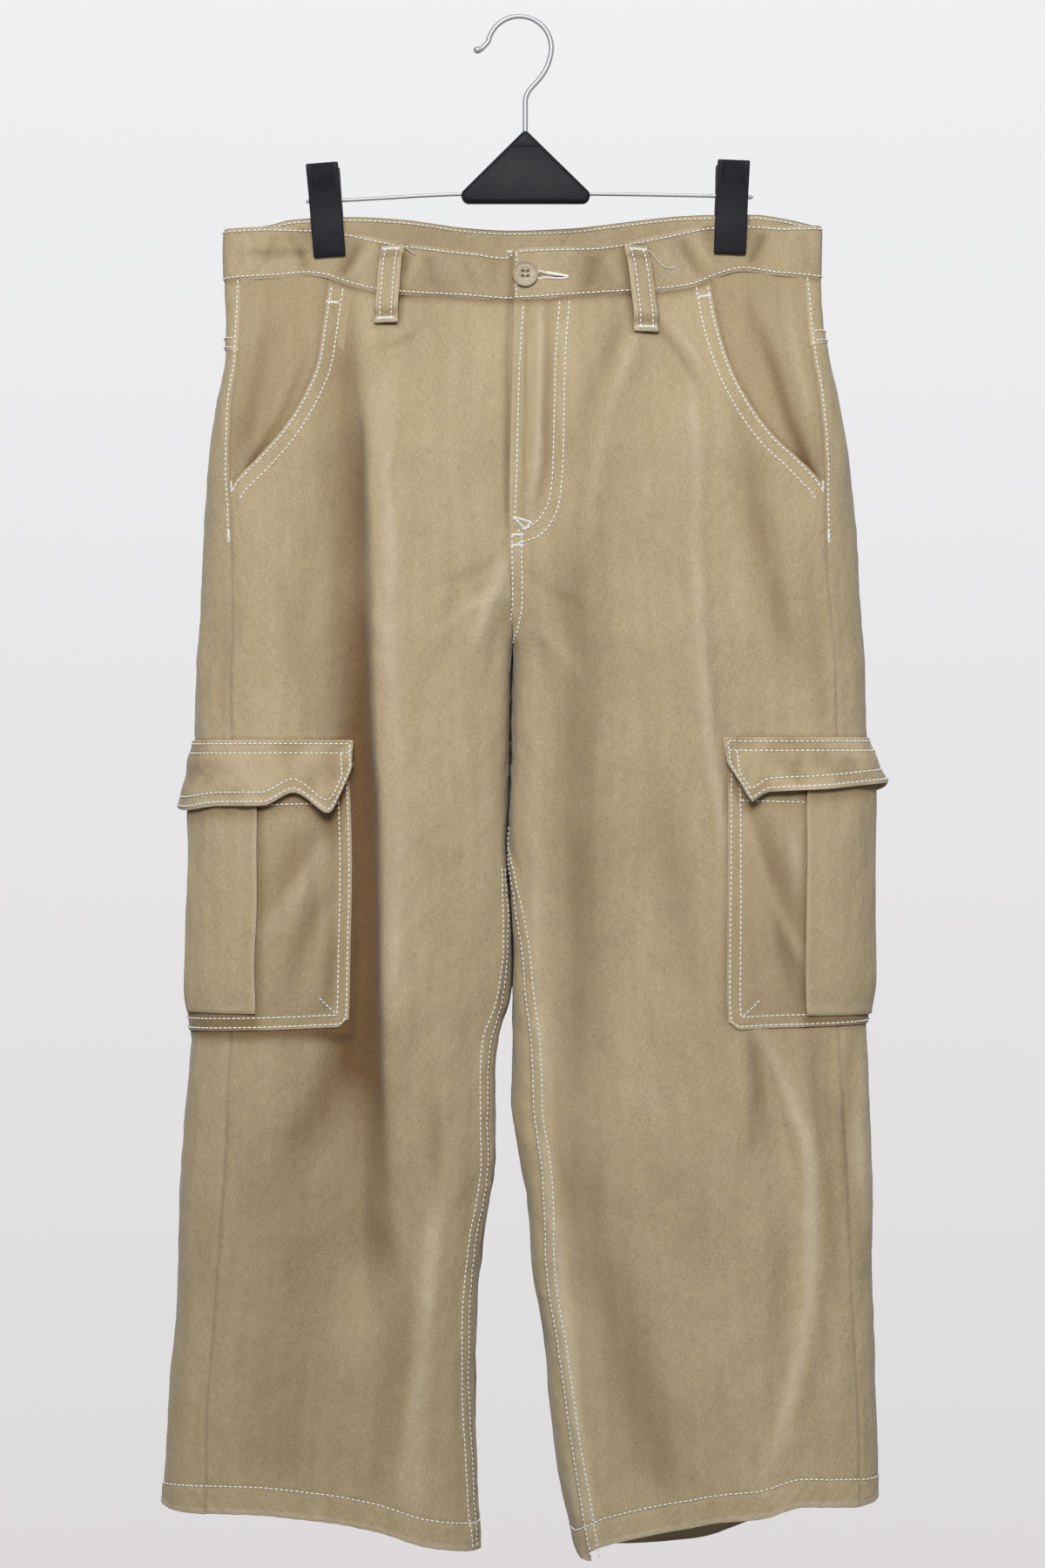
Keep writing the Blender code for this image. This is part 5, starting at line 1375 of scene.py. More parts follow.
# Creases across the front of the band: middle x, lean, height, width, and how much of its height
BAND_CREASES = (
    (-116, -0.5, -1.6, 3.2, 0.9), (-108, -0.6, 1.2, 3.4, 0.9), (-152, 0.4, -1.4, 3.0, 0.9),
    (-60, 0.2, -0.9, 5.0, 0.8), (118, 0.5, -1.7, 3.4, 0.9), (127, 0.6, 1.1, 3.0, 0.9),
    (164, -0.4, -1.5, 3.2, 0.9), (104, 0.5, 1.0, 4.0, 0.8), (50, -0.2, -0.9, 5.0, 0.8),
    (184, -0.3, 0.9, 4.0, 0.9), (-186, 0.2, 0.9, 4.0, 0.9), (-34, 0.5, -0.8, 4.0, 0.7),
    (-72, -0.3, 0.9, 3.5, 0.8), (64, 0.4, 0.8, 3.5, 0.8), (-172, -0.3, -0.8, 3.5, 0.8),
    (196, 0.2, -0.7, 3.0, 0.8),
)


def band_tone(face, x, share):
    """Painted shade in the band's creases and stitch rows, beside the clips, the button and the overlapping
    end, in the buttonhole's slit and beside the loops; what stands out is painted paler as a highlight. The
    back is a little darker all over.
    """
    if face == "back":
        return 0.1 + 0.0 * x
    drop = band_drop(face, x, share)
    right = ease((x + 96.0) / 30.0) * ease((-4.0 - x) / 6.0)
    left = ease((x - 34.0) / 10.0) * ease((82.0 - x) / 20.0)
    clips = sum(near(np.maximum(np.abs(x - at) - CLIP_HALF, 0.0), 5.0) for at in CLIP_X.values())
    clips = clips * (1.0 - 0.6 * share)
    total = 0.22 * near(share - 0.05, 0.02) + 0.3 * near(share - 0.95, 0.02) + 0.55 * near(x + 5.0, 2.6)
    total = total - 0.26 * band_relief(face, x, share, drop) + 0.22 * right + 0.26 * left + 0.35 * clips
    first, last = BUTTONHOLE[0][0], BUTTONHOLE[1][0]
    slit = ease((x - first + 2.0) / 2.0) * ease((last - 3.0 - x) / 3.0)
    return total + 1.2 * near(slit_away(x, drop), 0.9) * slit + loop_shade(face, x, drop)


def band_points(course, share, lift):
    legs, faces, xs, lifts = (np.array(column) for column in zip(*course))
    points, outward = np.zeros((len(course), 3)), np.zeros((len(course), 3))
    for leg, face in sorted(set(zip(legs, faces))):
        here = (legs == leg) & (faces == face)
        drop = band_drop(face, xs[here], share)
        height = lifts[here] + lift + band_relief(face, xs[here], share, drop)
        points[here], outward[here] = raised(leg, turn_at(leg, xs[here], drop, face), drop, height)
    return points, outward


def slit_away(x, drop):
    """How far this place of the band is from the line of the buttonhole."""
    (x0, d0), (x1, d1) = BUTTONHOLE
    return drop - (d0 + (d1 - d0) * (x - x0) / (x1 - x0))


class JEANS_OT_waistband(bpy.types.Operator):
    """Add the waistband, its left end lying over its right"""

    bl_idname = "jeans.waistband"
    bl_label = "Waistband"

    def execute(self, context):
        course = band_course()
        rows = [band_points(course, share, 0.0) for share in BAND_ROWS]
        points, outward = (np.array(grid) for grid in zip(*rows))
        shares = np.array(BAND_ROWS)[:, None]
        round_over = np.minimum(shares, 1.0 - shares) * BAND_HEIGHT
        thickness = DRAWN_BAND * (0.62 + 0.38 * ease(round_over / 2.4))
        layers = two_faces(points, outward, thickness[..., None])
        _, faces, xs, _ = (np.array(column) for column in zip(*course))
        x = xs + 0.0 * shares
        # band_tone paints shade on the band and, where it is negative, highlights added to the edge wear.
        tone = np.where(faces == "front", band_tone("front", x, shares), band_tone("back", x, shares))
        wear_and_highlight = edge_wear_and_highlight(tone.shape, (0.8, 0.6, 0.4, 0.3)) + np.clip(-tone, 0.0, 0.5)
        tone = np.clip(tone, 0.0, 0.8)
        open_buttonhole(cloth_sheet("waistband", *layers, wear_and_highlight, tone, "twill_band", 0.45, "clip_left_front"))
        return {"FINISHED"}


BUTTON_AT = (4.0, 181.0)
BUTTONHOLE = ((13.5, 181.5), (32.5, 182.5))


def open_buttonhole(band):
    """Presses a slit into the band between the buttonhole's stitches; its darkness is painted shade from
    band_tone.
    """
    for vert in band.data.vertices:
        x, y, drop = vert.co.x / MM, vert.co.y / MM, -vert.co.z / MM
        away = abs(slit_away(x, drop))
        if y < -20.0 and BUTTONHOLE[0][0] - 2 < x < BUTTONHOLE[1][0] + 2 and away < 1.6:
            vert.co.y += 1.1 * MM * (1.0 - away / 1.6)


class JEANS_OT_loops(bpy.types.Operator):
    """Add the five belt loops"""

    bl_idname = "jeans.loops"
    bl_label = "Belt Loops"

    def execute(self, context):
        for loop in LOOPS:
            build_loop(loop)
        return {"FINISHED"}


def loop_points(loop, shares, sides, lift=0.0):
    """Points of a belt loop: shares run down it and sides across it, both from 0 to 1."""
    sides = np.asarray(sides, float)
    points, outward = np.zeros((len(shares), len(sides), 3)), np.zeros((len(shares), len(sides), 3))
    for row, share in enumerate(shares):
        x = loop["x_top"] + (loop["x_low"] - loop["x_top"]) * share + (sides - 0.5) * LOOP_WIDTH
        drop = np.full(len(sides), loop["drop_top"] + (loop["drop_low"] - loop["drop_top"]) * share)
        arch = ease(share / 0.2) * ease((1.0 - share) / 0.22)
        feet = 1.3 * (1.0 - ease(min(share, 1.0 - share) / 0.10))
        uneven = 0.35 * lumps(3, x / 5.0, np.full(len(sides), share * 6.0))
        height = 2.5 + LOOP_STANDOFF * arch + feet + lift + uneven
        height = height - 0.35 * (np.abs(sides - 0.5) > 0.42) - 0.5 * near(np.abs(sides - 0.5) - 0.28, 0.06)
        legs = np.array([leg_of(value) for value in x])
        for leg in set(legs):
            here = legs == leg
            turn = turn_at(leg, x[here], drop[here], loop["face"])
            points[row, here], outward[row, here] = raised(leg, turn, drop[here], height[here])
    return points, outward


LOOP_ROWS = (0.22, 0.78)


def build_loop(loop):
    ends = np.linspace(0.0, 0.12, 8), np.linspace(0.88, 1.0, 8)
    shares = np.concatenate([ends[0], np.linspace(0.16, 0.84, 22), ends[1]])
    sides = np.linspace(0.0, 1.0, 12)
    layers = two_faces(*loop_points(loop, shares, sides), DRAWN_LOOP)
    wear_and_highlight = edge_wear_and_highlight((len(shares), len(sides)), (0.8, 1, 0.8, 1))
    # Painted shade along the two stitch rows and at the bends near the loop's ends.
    rows = sum(near(sides - row, 0.06) for row in LOOP_ROWS)
    feet = near(np.minimum(shares, 1.0 - shares) - 0.12, 0.05)
    hollow = 0.30 * rows[None, :] + 0.45 * feet[:, None]
    cloth_sheet(f"belt_loop_{loop['name']}", *layers, wear_and_highlight, hollow, "twill_band", 0.45)


# ---------------- fly


class JEANS_OT_fly(bpy.types.Operator):
    """Add the zip and its shield behind the closed front"""

    bl_idname = "jeans.fly"
    bl_label = "Fly"

    def execute(self, context):
        for name, first, last, lift, wall, made_of, slot in (
            ("fly_zip", -9.0, 17.0, -2.2, 0.9, "zip", "zip"),
            ("fly_shield", -17.0, 30.0, -3.8, 1.2, "twill", "cloth"),
        ):
            xs = np.linspace(first, last, 18)
            rows = [on_cloth(xs, np.full(18, drop), "front", lift) for drop in np.linspace(201.0, 352.0, 50)]
            layers = two_faces(*(np.array(grid) for grid in zip(*rows)), wall)
            cloth_sheet(name, *layers, made_of=made_of, slot=slot, hung="front_panel_left")
        return {"FINISHED"}


# ---------------- cargo pockets


def cargo_low(leg, along):
    """The pocket's lower edge, its corners a little rounded."""
    size = CARGO[leg]
    ends = (size["back_edge"], size["front_edge"])
    low = np.interp(along, ends, (size["low_back"], size["low_front"]))
    corner = np.minimum(ease((ends[1] - along) / 7.0), ease((along - ends[0]) / 7.0))
    return low - 5.0 * (1.0 - corner)


def cargo_lift(leg, along, drop):
    """How far out the pocket lies: sewn flat at its edges, full in its middle, and creased."""
    size, low = CARGO[leg], cargo_low(leg, along)
    across = ease((size["front_edge"] - along) / 22.0) * ease((along - size["back_edge"]) / 22.0)
    up = ease((low - drop) / 30.0) * (0.6 + 0.4 * ease((drop - size["top"]) / 40.0))
    seed = 11.0 if leg == "left" else 3.0
    wavy = 0.8 * lumps(5, along / 26.0 + seed, drop / 48.0) + 0.4 * lumps(6, along / 11.0 + seed, drop / 22.0)
    edge = np.minimum(np.minimum(size["front_edge"] - along, along - size["back_edge"]), low - drop)
    inside = ease((edge - ROW_FAR) / 9.0)
    pucker = 0.35 * lumps(7, (along + drop) / 5.0, edge / 4.0) * near(edge - 7.0, 6.0)
    total = 1.45 + CARGO_PUFF * 0.95 * across * up + wavy * inside + pucker - 0.25 * twin(edge)
    for height, width, a0, d0, a1, d1 in CARGO_CREASES[leg]:
        away = along - (a0 + (a1 - a0) * np.clip((drop - d0) / (d1 - d0), 0.0, 1.0))
        ends = ease((drop - d0 + 8.0) / 16.0) * ease((d1 + 8.0 - drop) / 16.0)
        total = total + height * near(away, width) * ends * inside
    x = surface_x(leg, TAPES[leg].turn(along, drop), drop)
    return total - 2.0 * strokes(leg, "pocket", x, drop) * inside


# Creases of each pocket: height, width, then where it starts and ends as along and drop
CARGO_CREASES = {
    "right": (
        (-1.2, 4.0, 60, 556, 54, 640), (1.0, 5.0, 46, 570, 40, 660), (-1.0, 4.0, 28, 560, 24, 620),
        (0.9, 5.0, 64, 620, 60, 676), (-0.9, 5.0, -50, 560, -56, 650), (0.9, 6.0, -72, 560, -70, 670),
    ),
    "left": (
        (1.1, 5.0, 58, 560, 44, 640), (-1.2, 4.5, 46, 552, 30, 630), (1.0, 4.0, 30, 556, 26, 650),
        (-1.0, 5.0, 60, 610, 52, 680), (0.9, 6.0, -58, 560, -60, 650), (-0.9, 6.0, -78, 560, -74, 670),
    ),
}


def cargo_points(leg, along, drop, lift):
    """Points over the pocket's ground at these distances and drops."""
    along, drop = alike(along, drop)
    return raised(leg, TAPES[leg].turn(along, drop), drop, lift)[0]


def cargo_sheet(name, leg, along, drops, lift, wall, wear_and_highlight, hollow, rim=0.38, hung="front_panel"):
    """A sheet of the cargo pocket, laid this far over its ground."""
    points = cargo_points(leg, along, drops, lift)
    layers = two_faces(points, grid_normals(points, -inwards(leg)), wall)
    cloth_sheet(f"{name}_{leg}", *layers, wear_and_highlight, hollow, "twill_light", rim, f"{hung}_{leg}")


def flap_shadow(leg, along, drops):
    return 0.5 * near(drops - flap_shape(leg, along)[0] - 3.0, 7.0)


class JEANS_OT_cargo_pockets(bpy.types.Operator):
    """Add the cargo pockets, their pleats and their flaps"""

    bl_idname = "jeans.cargo_pockets"
    bl_label = "Cargo Pockets"

    def execute(self, context):
        for leg in LEGS:
            build_cargo_pocket(leg)
            build_cargo_pleat(leg)
            build_cargo_flap(leg)
        return {"FINISHED"}


def build_cargo_pocket(leg):
    size = CARGO[leg]
    width = size["front_edge"] - size["back_edge"]
    along = size["front_edge"] - spread(width)[None, :] * width
    drops = size["top"] + (cargo_low(leg, along) - size["top"]) * spread(182.0, False)[:, None]
    lift = cargo_lift(leg, along, drops)
    # Painted shade from the folds' strokes, the flap's shadow and the pleat, under and beside it; the pocket
    # is also a little darker all over and more towards its bottom. Ridges and what stands out are painted
    # paler as highlights, over the edges' wear.
    tone = strokes(leg, "pocket", surface_x(leg, TAPES[leg].turn(along, drops), drops), drops)
    first, last = pleat_ends(leg)
    beside_pleat = 0.5 * near(np.maximum(np.maximum(along - first, last - along), 0.0), 3.5)
    low_half = 0.14 + 0.1 * ease((drops - size["top"]) / 150.0)
    hollow = np.clip(tone, 0.0, 1.0) + flap_shadow(leg, along, drops) + beside_pleat + low_half
    wear_and_highlight = edge_wear_and_highlight(lift.shape, (0, 0.7, 0.8, 0.8), lift - 5.4) + np.clip(-tone, 0.0, 0.5)
    cargo_sheet("cargo_pocket", leg, along, drops, lift, DRAWN_POCKET, wear_and_highlight, hollow)


def pleat_ends(leg):
    size = CARGO[leg]
    step = (size["front_edge"] - size["back_edge"]) / CARGO_STEPS
    return size["front_edge"] - step * size["pleat_from"], size["front_edge"] - step * size["pleat_to"]


def pleat_lift(leg, along, drop, share):
    """The pleat lies on the pocket, its two folded edges lifting a little."""
    edge = np.minimum(share, 1.0 - share)
    lifted_edge = (0.9 + 0.5 * lumps(8, drop / 34.0, share * 1.0)) * (1.0 - ease(edge / 0.16))
    belly = 0.5 * lumps(9, drop / 40.0, share * 2.0)
    return cargo_lift(leg, along, drop) + 1.6 + lifted_edge + belly * ease(edge / 0.3)


def build_cargo_pleat(leg):
    size = CARGO[leg]
    first, last = pleat_ends(leg)
    share = np.concatenate([[0.0, 0.02, 0.05], np.linspace(0.1, 0.9, 14), [0.95, 0.98, 1.0]])[None, :]
    drops = np.linspace(size["top"] + 14.0, size["low_front"] - 10.0, 60)[:, None]
    waver = 1.0 * lumps(4, drops / 36.0, np.full(drops.shape, 0.5 if leg == "left" else 7.5))
    along = first + waver + (last - first) * share
    lift = pleat_lift(leg, along, drops, share)
    wear_and_highlight = edge_wear_and_highlight(lift.shape, (0, 0.8, 0.2, 0.8))
    # Painted shadow under the flap; the pleat is also a little darker all over.
    hollow = flap_shadow(leg, along, drops) + 0.10
    cargo_sheet("cargo_pleat", leg, along, drops, lift, DRAWN_PLEAT, wear_and_highlight, hollow, 0.5, "cargo_pocket")


def flap_shape(leg, steps):
    """The flap's lower edge and how far it curls, at these distances from the side seam."""
    places, drops, curls = zip(*FLAP_EDGES[leg])
    return through(places, drops, steps), through(places, curls, steps)


def flap_lift(leg, along, drop):
    pocket_top, top = CARGO[leg]["top"], FLAP_TOPS[leg]
    low, curl = flap_shape(leg, along)
    share = np.clip((drop - top) / (low - top), 0.0, 1.0)
    ground = cargo_lift(leg, along, np.maximum(drop, pocket_top + 1.0)) + 1.6
    ground = ground + 2.2 * ease((drop - pocket_top - 6.0) / 14.0)
    lift = 1.7 + (ground - 1.7) * ease((drop - top - 1.0) / (pocket_top - top))
    rumple = 1.5 * flap_rumple(leg, along, drop) * ease(share / 0.3)
    return lift + curl * 0.9 * share**2 + rumple - 0.3 * twin(np.minimum(share, 1.0 - share) * (low - top))


def flap_rumple(leg, along, drop):
    """Slanting creases of the flap, from -1 to 1."""
    seed = 5.5 if leg == "left" else 1.5
    slant = along + 0.9 * drop
    wide = lumps(10, slant / 14.0 + seed, (drop - 0.5 * along) / 22.0)
    return 0.7 * wide + 0.3 * lumps(11, along / 6.0 + seed, drop / 8.0)


def build_cargo_flap(leg):
    first, last, top = FLAP_EDGES[leg][-1][0], FLAP_EDGES[leg][0][0], FLAP_TOPS[leg]
    along = (first + (last - first) * spread(first - last))[None, :]
    shares = np.concatenate([[0.0, 0.03, 0.07], np.linspace(0.12, 0.88, 14), [0.93, 0.97, 1.0]])[:, None]
    height = flap_shape(leg, along)[0] - top
    drops = top + height * shares
    folds = flap_rumple(leg, along, drops)
    rows = twin(np.minimum(shares, 1.0 - shares) * height, 0.9)
    # Painted shade in the rumples' hollows and along the stitch rows, and a little darker all over; the
    # rumples' crests are painted paler as highlights, over the edges' wear.
    hollow = np.clip(-0.5 * folds, 0.0, 0.5) + 0.06 + 0.25 * rows
    wear_and_highlight = edge_wear_and_highlight(folds.shape, (0.5, 0.8, 1, 0.8)) + np.clip(0.4 * folds, 0.0, 0.4)
    cargo_sheet("cargo_flap", leg, along, drops, flap_lift(leg, along, drops), DRAWN_FLAP, wear_and_highlight, hollow, 0.5)


# ---------------- stitching


SEWN = 0.15
BAR_PITCH = 0.62
BAR_STITCH = 2.3

# Short bars of dense stitches on the front, as x and drop of their two ends
FRONT_BARS = (
    (-4.0, 346.4, 8.0, 350.0), (8.0, 350.0, 3.9, 354.7), (3.9, 354.7, -4.0, 346.4), (-5.4, 358.4, 3.0, 358.2),
    (-5.4, 365.6, 3.0, 365.2), (-133.0, 195.5, -124.0, 196.5), (131.5, 191.5, 123.0, 193.0),
)
# The inner row of the curved fly stitching, as x and drop; the outer row runs beside it
FLY_J_INNER = (
    (27.5, 199), (24.5, 240), (23.5, 286), (22.5, 317), (20.5, 333), (15.5, 345), (8, 352.5), (-2, 356.5),
)
FLY_J_OUTER = ((34, 199), (31, 240), (30, 286), (29, 317), (27, 336), (21, 351), (12, 360), (-2, 364.5))
FLY_EDGE_ROW = ((2.6, 203), (-0.3, 255), (-1.8, 317), (-3.0, 345))
MOUTH_HEM = 28.0
MOUTH_ROW_FAR = 9.8
# Bars on the side seam: distance from it, and the drops of their ends
SIDE_BARS = ((-1.4, 354.5, 363.0), (2.2, 321.0, 329.0))
# Above these drops the inseam rows lie out of sight between the legs
INSEAM_ROWS_FROM = {"right": 584.0, "left": 556.0}


def front_lift(x, drop):
    """The outer face of the front panels, over the fastened edge."""
    turn = turn_at("left", x, drop)
    return PANEL_LIFT + SEWN + np.where(x > -5.5, fly_overlap(turn, drop), 0.0)


def front_row(seams, points):
    x, drop = drawn(points).T
    seams.run(*on_cloth(x, drop, "front", front_lift(x, drop)))


def along_row(seams, leg, along, drop):
    """A row at these distances from the side seam."""
    seams.run(*lifted(leg, TAPES[leg].turn(along, drop), drop, PANEL_LIFT + SEWN))


def cargo_row(seams, leg, along, drop, lift_of, over, **how):
    """A row on a cargo pocket, pleat or flap, whose own lift is given by a function."""
    along, drop = alike(along, drop)

    def at(along_here, drop_here):
        return cargo_points(leg, along_here, drop_here, lift_of(leg, along_here, drop_here) + over)

    around = at(along + 0.6, drop) - at(along - 0.6, drop)
    down = at(along, drop + 0.6) - at(along, drop - 0.6)
    seams.run(at(along, drop), unit(np.cross(down, around) * inwards(leg)), **how)


def bar(seams, points, outward):
    seams.run(points, outward, BAR_PITCH, BAR_STITCH, 0.62, across=True)


def steps_between(first, last, step=1.0):
    return np.linspace(first, last, max(3, int(abs(last - first) / step)))


class JEANS_OT_body_sewing(bpy.types.Operator):
    """Sew the rows of the panels, fly, pockets mouths, seams and hems"""

    bl_idname = "jeans.body_sewing"
    bl_label = "Panel Stitching"

    def execute(self, context):
        seams = Seams("panel_stitching", 21)
        for leg in LEGS:
            sew_leg(seams, leg)
        sew_front(seams)
        seams.build()
        return {"FINISHED"}


def sew_leg(seams, leg):
    tape = TAPES[leg]
    mouth = drawn([(x, drop) for drop, x in POCKET_MOUTHS[leg]])
    flat = np.stack([tape.along(turn_at(leg, mouth[:, 0], mouth[:, 1]), mouth[:, 1]), mouth[:, 1]], axis=1)
    for away in (ROW_NEAR, MOUTH_ROW_FAR):
        row = beside(flat, -away)
        row = row[(row[:, 0] > 1.5) & (row[:, 1] > line(BAND_LOW_FRONT, mouth[:, 0]) + 1.0)]
        row = drawn([*row, row[-1] + (-5.0, 7.0)])
        along_row(seams, leg, *row[row[:, 0] > 0.8].T)
    along_row(seams, leg, -ROW_NEAR, steps_between(line(BAND_LOW_BACK, mouth[0, 0]) + 4.0, 360.0))
    for along, *ends in SIDE_BARS:
        drop = steps_between(*ends)
        bar(seams, *lifted(leg, tape.turn(along, drop), drop, PANEL_LIFT + SEWN))
    for away in (ROW_NEAR, ROW_FAR):
        hem = HEM_LINES[leg, "front"][-1 if leg == "right" else 0][1]
        drop = steps_between(INSEAM_ROWS_FROM[leg], hem - 2.0)
        along_row(seams, leg, tape.along(inseam_turn(leg, drop), drop) - away, drop)
    for face, first in (("front", 0.01), ("back", -0.99)):
        turns = np.linspace(first, first + 0.98, 320)
        hem = line(HEM_LINES[leg, face], surface_x(leg, turns, 1030.0))
        seams.run(*lifted(leg, turns, hem - HEM_ROW, PANEL_LIFT + 2.0 * SEWN))
    turns = np.linspace(-0.985, float(side_seam_turn(leg, 225.0)) - 0.02, 260)
    for away in (ROW_NEAR, ROW_FAR):
        drop = line(YOKE_LOW, surface_x(leg, turns, 245.0)) - away
        seams.run(*lifted(leg, turns, drop, PANEL_LIFT + 0.5 + SEWN))
    for away in (ROW_NEAR, ROW_FAR) if leg == "right" else ():
        drop = steps_between(272.0, 432.0)
        along_row(seams, leg, tape.along(-1.0, drop) + away, drop)


def sew_front(seams):
    for row in (FLY_J_INNER, FLY_J_OUTER, FLY_EDGE_ROW):
        front_row(seams, row)
    for x0, drop0, x1, drop1 in FRONT_BARS:
        x, drop = np.linspace(x0, x1, 12), np.linspace(drop0, drop1, 12)
        bar(seams, *on_cloth(x, drop, "front", front_lift(x, drop) + 0.1))
    for away in (ROW_NEAR, ROW_FAR):
        drop = steps_between(358.0, 431.0)
        along_row(seams, "left", TAPES["left"].along(1.0, drop) - away, drop)


# The two long rows of the band, as shares of its height
BAND_STITCH_ROWS = (0.052, 0.948)
# Loose ends of thread beside the two front loops, as x and drop
LOOSE_ENDS = (
    ((80, 160.5), (87, 162.5), (92, 167.5), (97, 172.5), (103, 174), (106, 172.5)),
    ((-84, 158), (-79, 159), (-74, 162), (-70, 165)),
)


class JEANS_OT_band_sewing(bpy.types.Operator):
    """Sew the waistband, buttonhole and belt loops"""

    bl_idname = "jeans.band_sewing"
    bl_label = "Waistband Stitching"

    def execute(self, context):
        seams = Seams("waistband_stitching", 22)
        lift = DRAWN_BAND / 2.0 + 2.0 * SEWN
        course = [row for row in band_course() if row[0] == "right" or row[3] == 0.0]
        for share in BAND_STITCH_ROWS:
            seams.run(*band_points(course, share, lift))
        end = [("left", "front", -2.0, 0.0)]
        edge = [band_points(end, share, lift) for share in np.linspace(0.06, 0.94, 30)]
        seams.run(*(np.concatenate(rows) for rows in zip(*edge)))
        sew_buttonhole(seams)
        for loop in LOOPS:
            sew_loop(seams, loop)
        behind = [row for row in course if row[1] == "back"]
        for share in BAND_STITCH_ROWS:
            points, outward = band_points(behind, share, -lift)
            seams.run(points, -outward)
        for path in LOOSE_ENDS:
            x, drop = drawn(path, 0.4).T
            leg = leg_of(x[0])
            seams.run(*raised(leg, turn_at(leg, x, drop), drop, 3.0), 1.0, 1.5, 0.55)
        tack = [("right", "back", x, 0.0) for x in np.linspace(-9.0, -4.2, 8)]
        points, outward = band_points(tack, 0.36, -lift)
        bar(seams, points, -outward)
        seams.build()
        return {"FINISHED"}


def sew_buttonhole(seams):
    """Dense stitches round a slit that opens into a round eye."""
    (x0, d0), (x1, d1) = BUTTONHOLE
    turns = np.linspace(0.7, math.tau - 0.7, 26)
    outline = [(x0 + 2.6 * math.cos(a) + 0.6, d0 + 2.7 * math.sin(a)) for a in turns]
    upper = [(x0 + 5.0, d0 + 1.9), (x1 - 4.0, d1 + 1.3), (x1 + 0.6, d1 + 0.3)]
    under = [(x1 + 0.6, d1 - 0.3), (x1 - 4.0, d1 - 1.3), (x0 + 5.0, d0 - 1.9)]
    x, drop = drawn([*outline, *under, *upper[::-1], outline[0]], 0.3).T
    top, low = line(BAND_TOP_FRONT, x), line(BAND_LOW_FRONT, x)
    lift = DRAWN_BAND / 2.0 + SEWN + band_relief("front", x, (drop - top) / (low - top), drop)
    seams.run(*raised("left", turn_at("left", x, drop), drop, lift), 0.55, 1.7, 0.6, across=True)


def sew_loop(seams, loop):
    over = DRAWN_LOOP / 2.0 + SEWN
    for side in LOOP_ROWS:
        grid, outs = loop_points(loop, np.linspace(0.02, 0.98, 60), [side], over)
        seams.run(grid[:, 0], outs[:, 0])
    for share in (0.035, 0.962):
        grid, outs = loop_points(loop, [share], np.linspace(0.10, 0.90, 14), over + 0.1)
        bar(seams, grid[0], outs[0])


class JEANS_OT_cargo_sewing(bpy.types.Operator):
    """Sew the cargo pockets, their pleats and their flaps"""

    bl_idname = "jeans.cargo_sewing"
    bl_label = "Cargo Pocket Stitching"

    def execute(self, context):
        seams = Seams("cargo_stitching", 23)
        for leg in LEGS:
            sew_pocket(seams, leg)
            sew_flap(seams, leg)
        seams.build()
        return {"FINISHED"}


def sew_pocket(seams, leg):
    size = CARGO[leg]
    front, back, low = size["front_edge"], size["back_edge"], size["low_front"]

    def row(along, drop):
        cargo_row(seams, leg, along, drop, cargo_lift, DRAWN_POCKET / 2.0 + SEWN)

    for away in (ROW_NEAR, ROW_FAR):
        for edge in (front - away, back + away):
            row(edge, steps_between(size["top"] + 2.0, float(cargo_low(leg, edge)) - away))
        along = steps_between(front - away, back + away)
        row(along, cargo_low(leg, along) - away)
    first, last = pleat_ends(leg)
    for ends in ((front - ROW_FAR, first + 2.0), (last - 2.0, back + ROW_FAR)):
        along = steps_between(*ends)
        row(along, size["top"] + MOUTH_HEM + 0.02 * (front - along))
    share = np.linspace(0.0, 1.0, 26)
    row(front - 9.0 - 13.0 * share, low - 9.0 - 11.0 * share)


def sew_flap(seams, leg):
    first, last, top = FLAP_EDGES[leg][-1][0], FLAP_EDGES[leg][0][0], FLAP_TOPS[leg]

    def row(along, drop):
        cargo_row(seams, leg, along, drop, flap_lift, DRAWN_FLAP / 2.0 + SEWN)

    for away in (ROW_NEAR, ROW_FAR):
        row(steps_between(first - 2.0, last + 2.0, 0.8), top + away)
        along = steps_between(first - away, last + away, 0.8)
        row(along, flap_shape(leg, along)[0] - away)
        drop = steps_between(top + away, float(flap_shape(leg, first - away)[0]) - away)
        if len(drop) > 4:
            row(first - away, drop)


# ---------------- hard pieces


BUTTON_RADIUS = 8.7
BUTTON_HEIGHT = 2.8
BUTTON_RIM = 1.9
BUTTON_DISH = 0.7
BUTTON_HOLE = 0.95
BUTTON_HOLE_RING = 2.4


def deselect():
    bpy.ops.object.select_all(action="DESELECT")


def chosen(obj):
    deselect()
    obj.select_set(True)
    bpy.context.view_layer.objects.active = obj
    return obj


def edit_faces(obj, test):
    """Enters edit mode with the faces that pass the test selected."""
    chosen(obj)
    bpy.ops.object.mode_set(mode="EDIT")
    bpy.ops.mesh.select_mode(type="FACE")
    bpy.ops.mesh.select_all(action="DESELECT")
    bpy.ops.object.mode_set(mode="OBJECT")
    for face in obj.data.polygons:
        face.select = test(face)
    bpy.ops.object.mode_set(mode="EDIT")


def apply_modifier(obj, kind, **settings):
    chosen(obj)
    modifier = obj.modifiers.new(kind.lower(), kind)
    for key, value in settings.items():
        setattr(modifier, key, value)
    bpy.ops.object.modifier_apply(modifier=modifier.name)


def carve(obj, cutter):
    apply_modifier(obj, "BOOLEAN", operation="DIFFERENCE", solver="EXACT", object=cutter)
    bpy.data.objects.remove(cutter, do_unlink=True)


def round_edges(obj, width, segments, angle):
    how = {"limit_method": "ANGLE", "angle_limit": math.radians(angle)}
    apply_modifier(obj, "BEVEL", width=width * MM, segments=segments, **how)


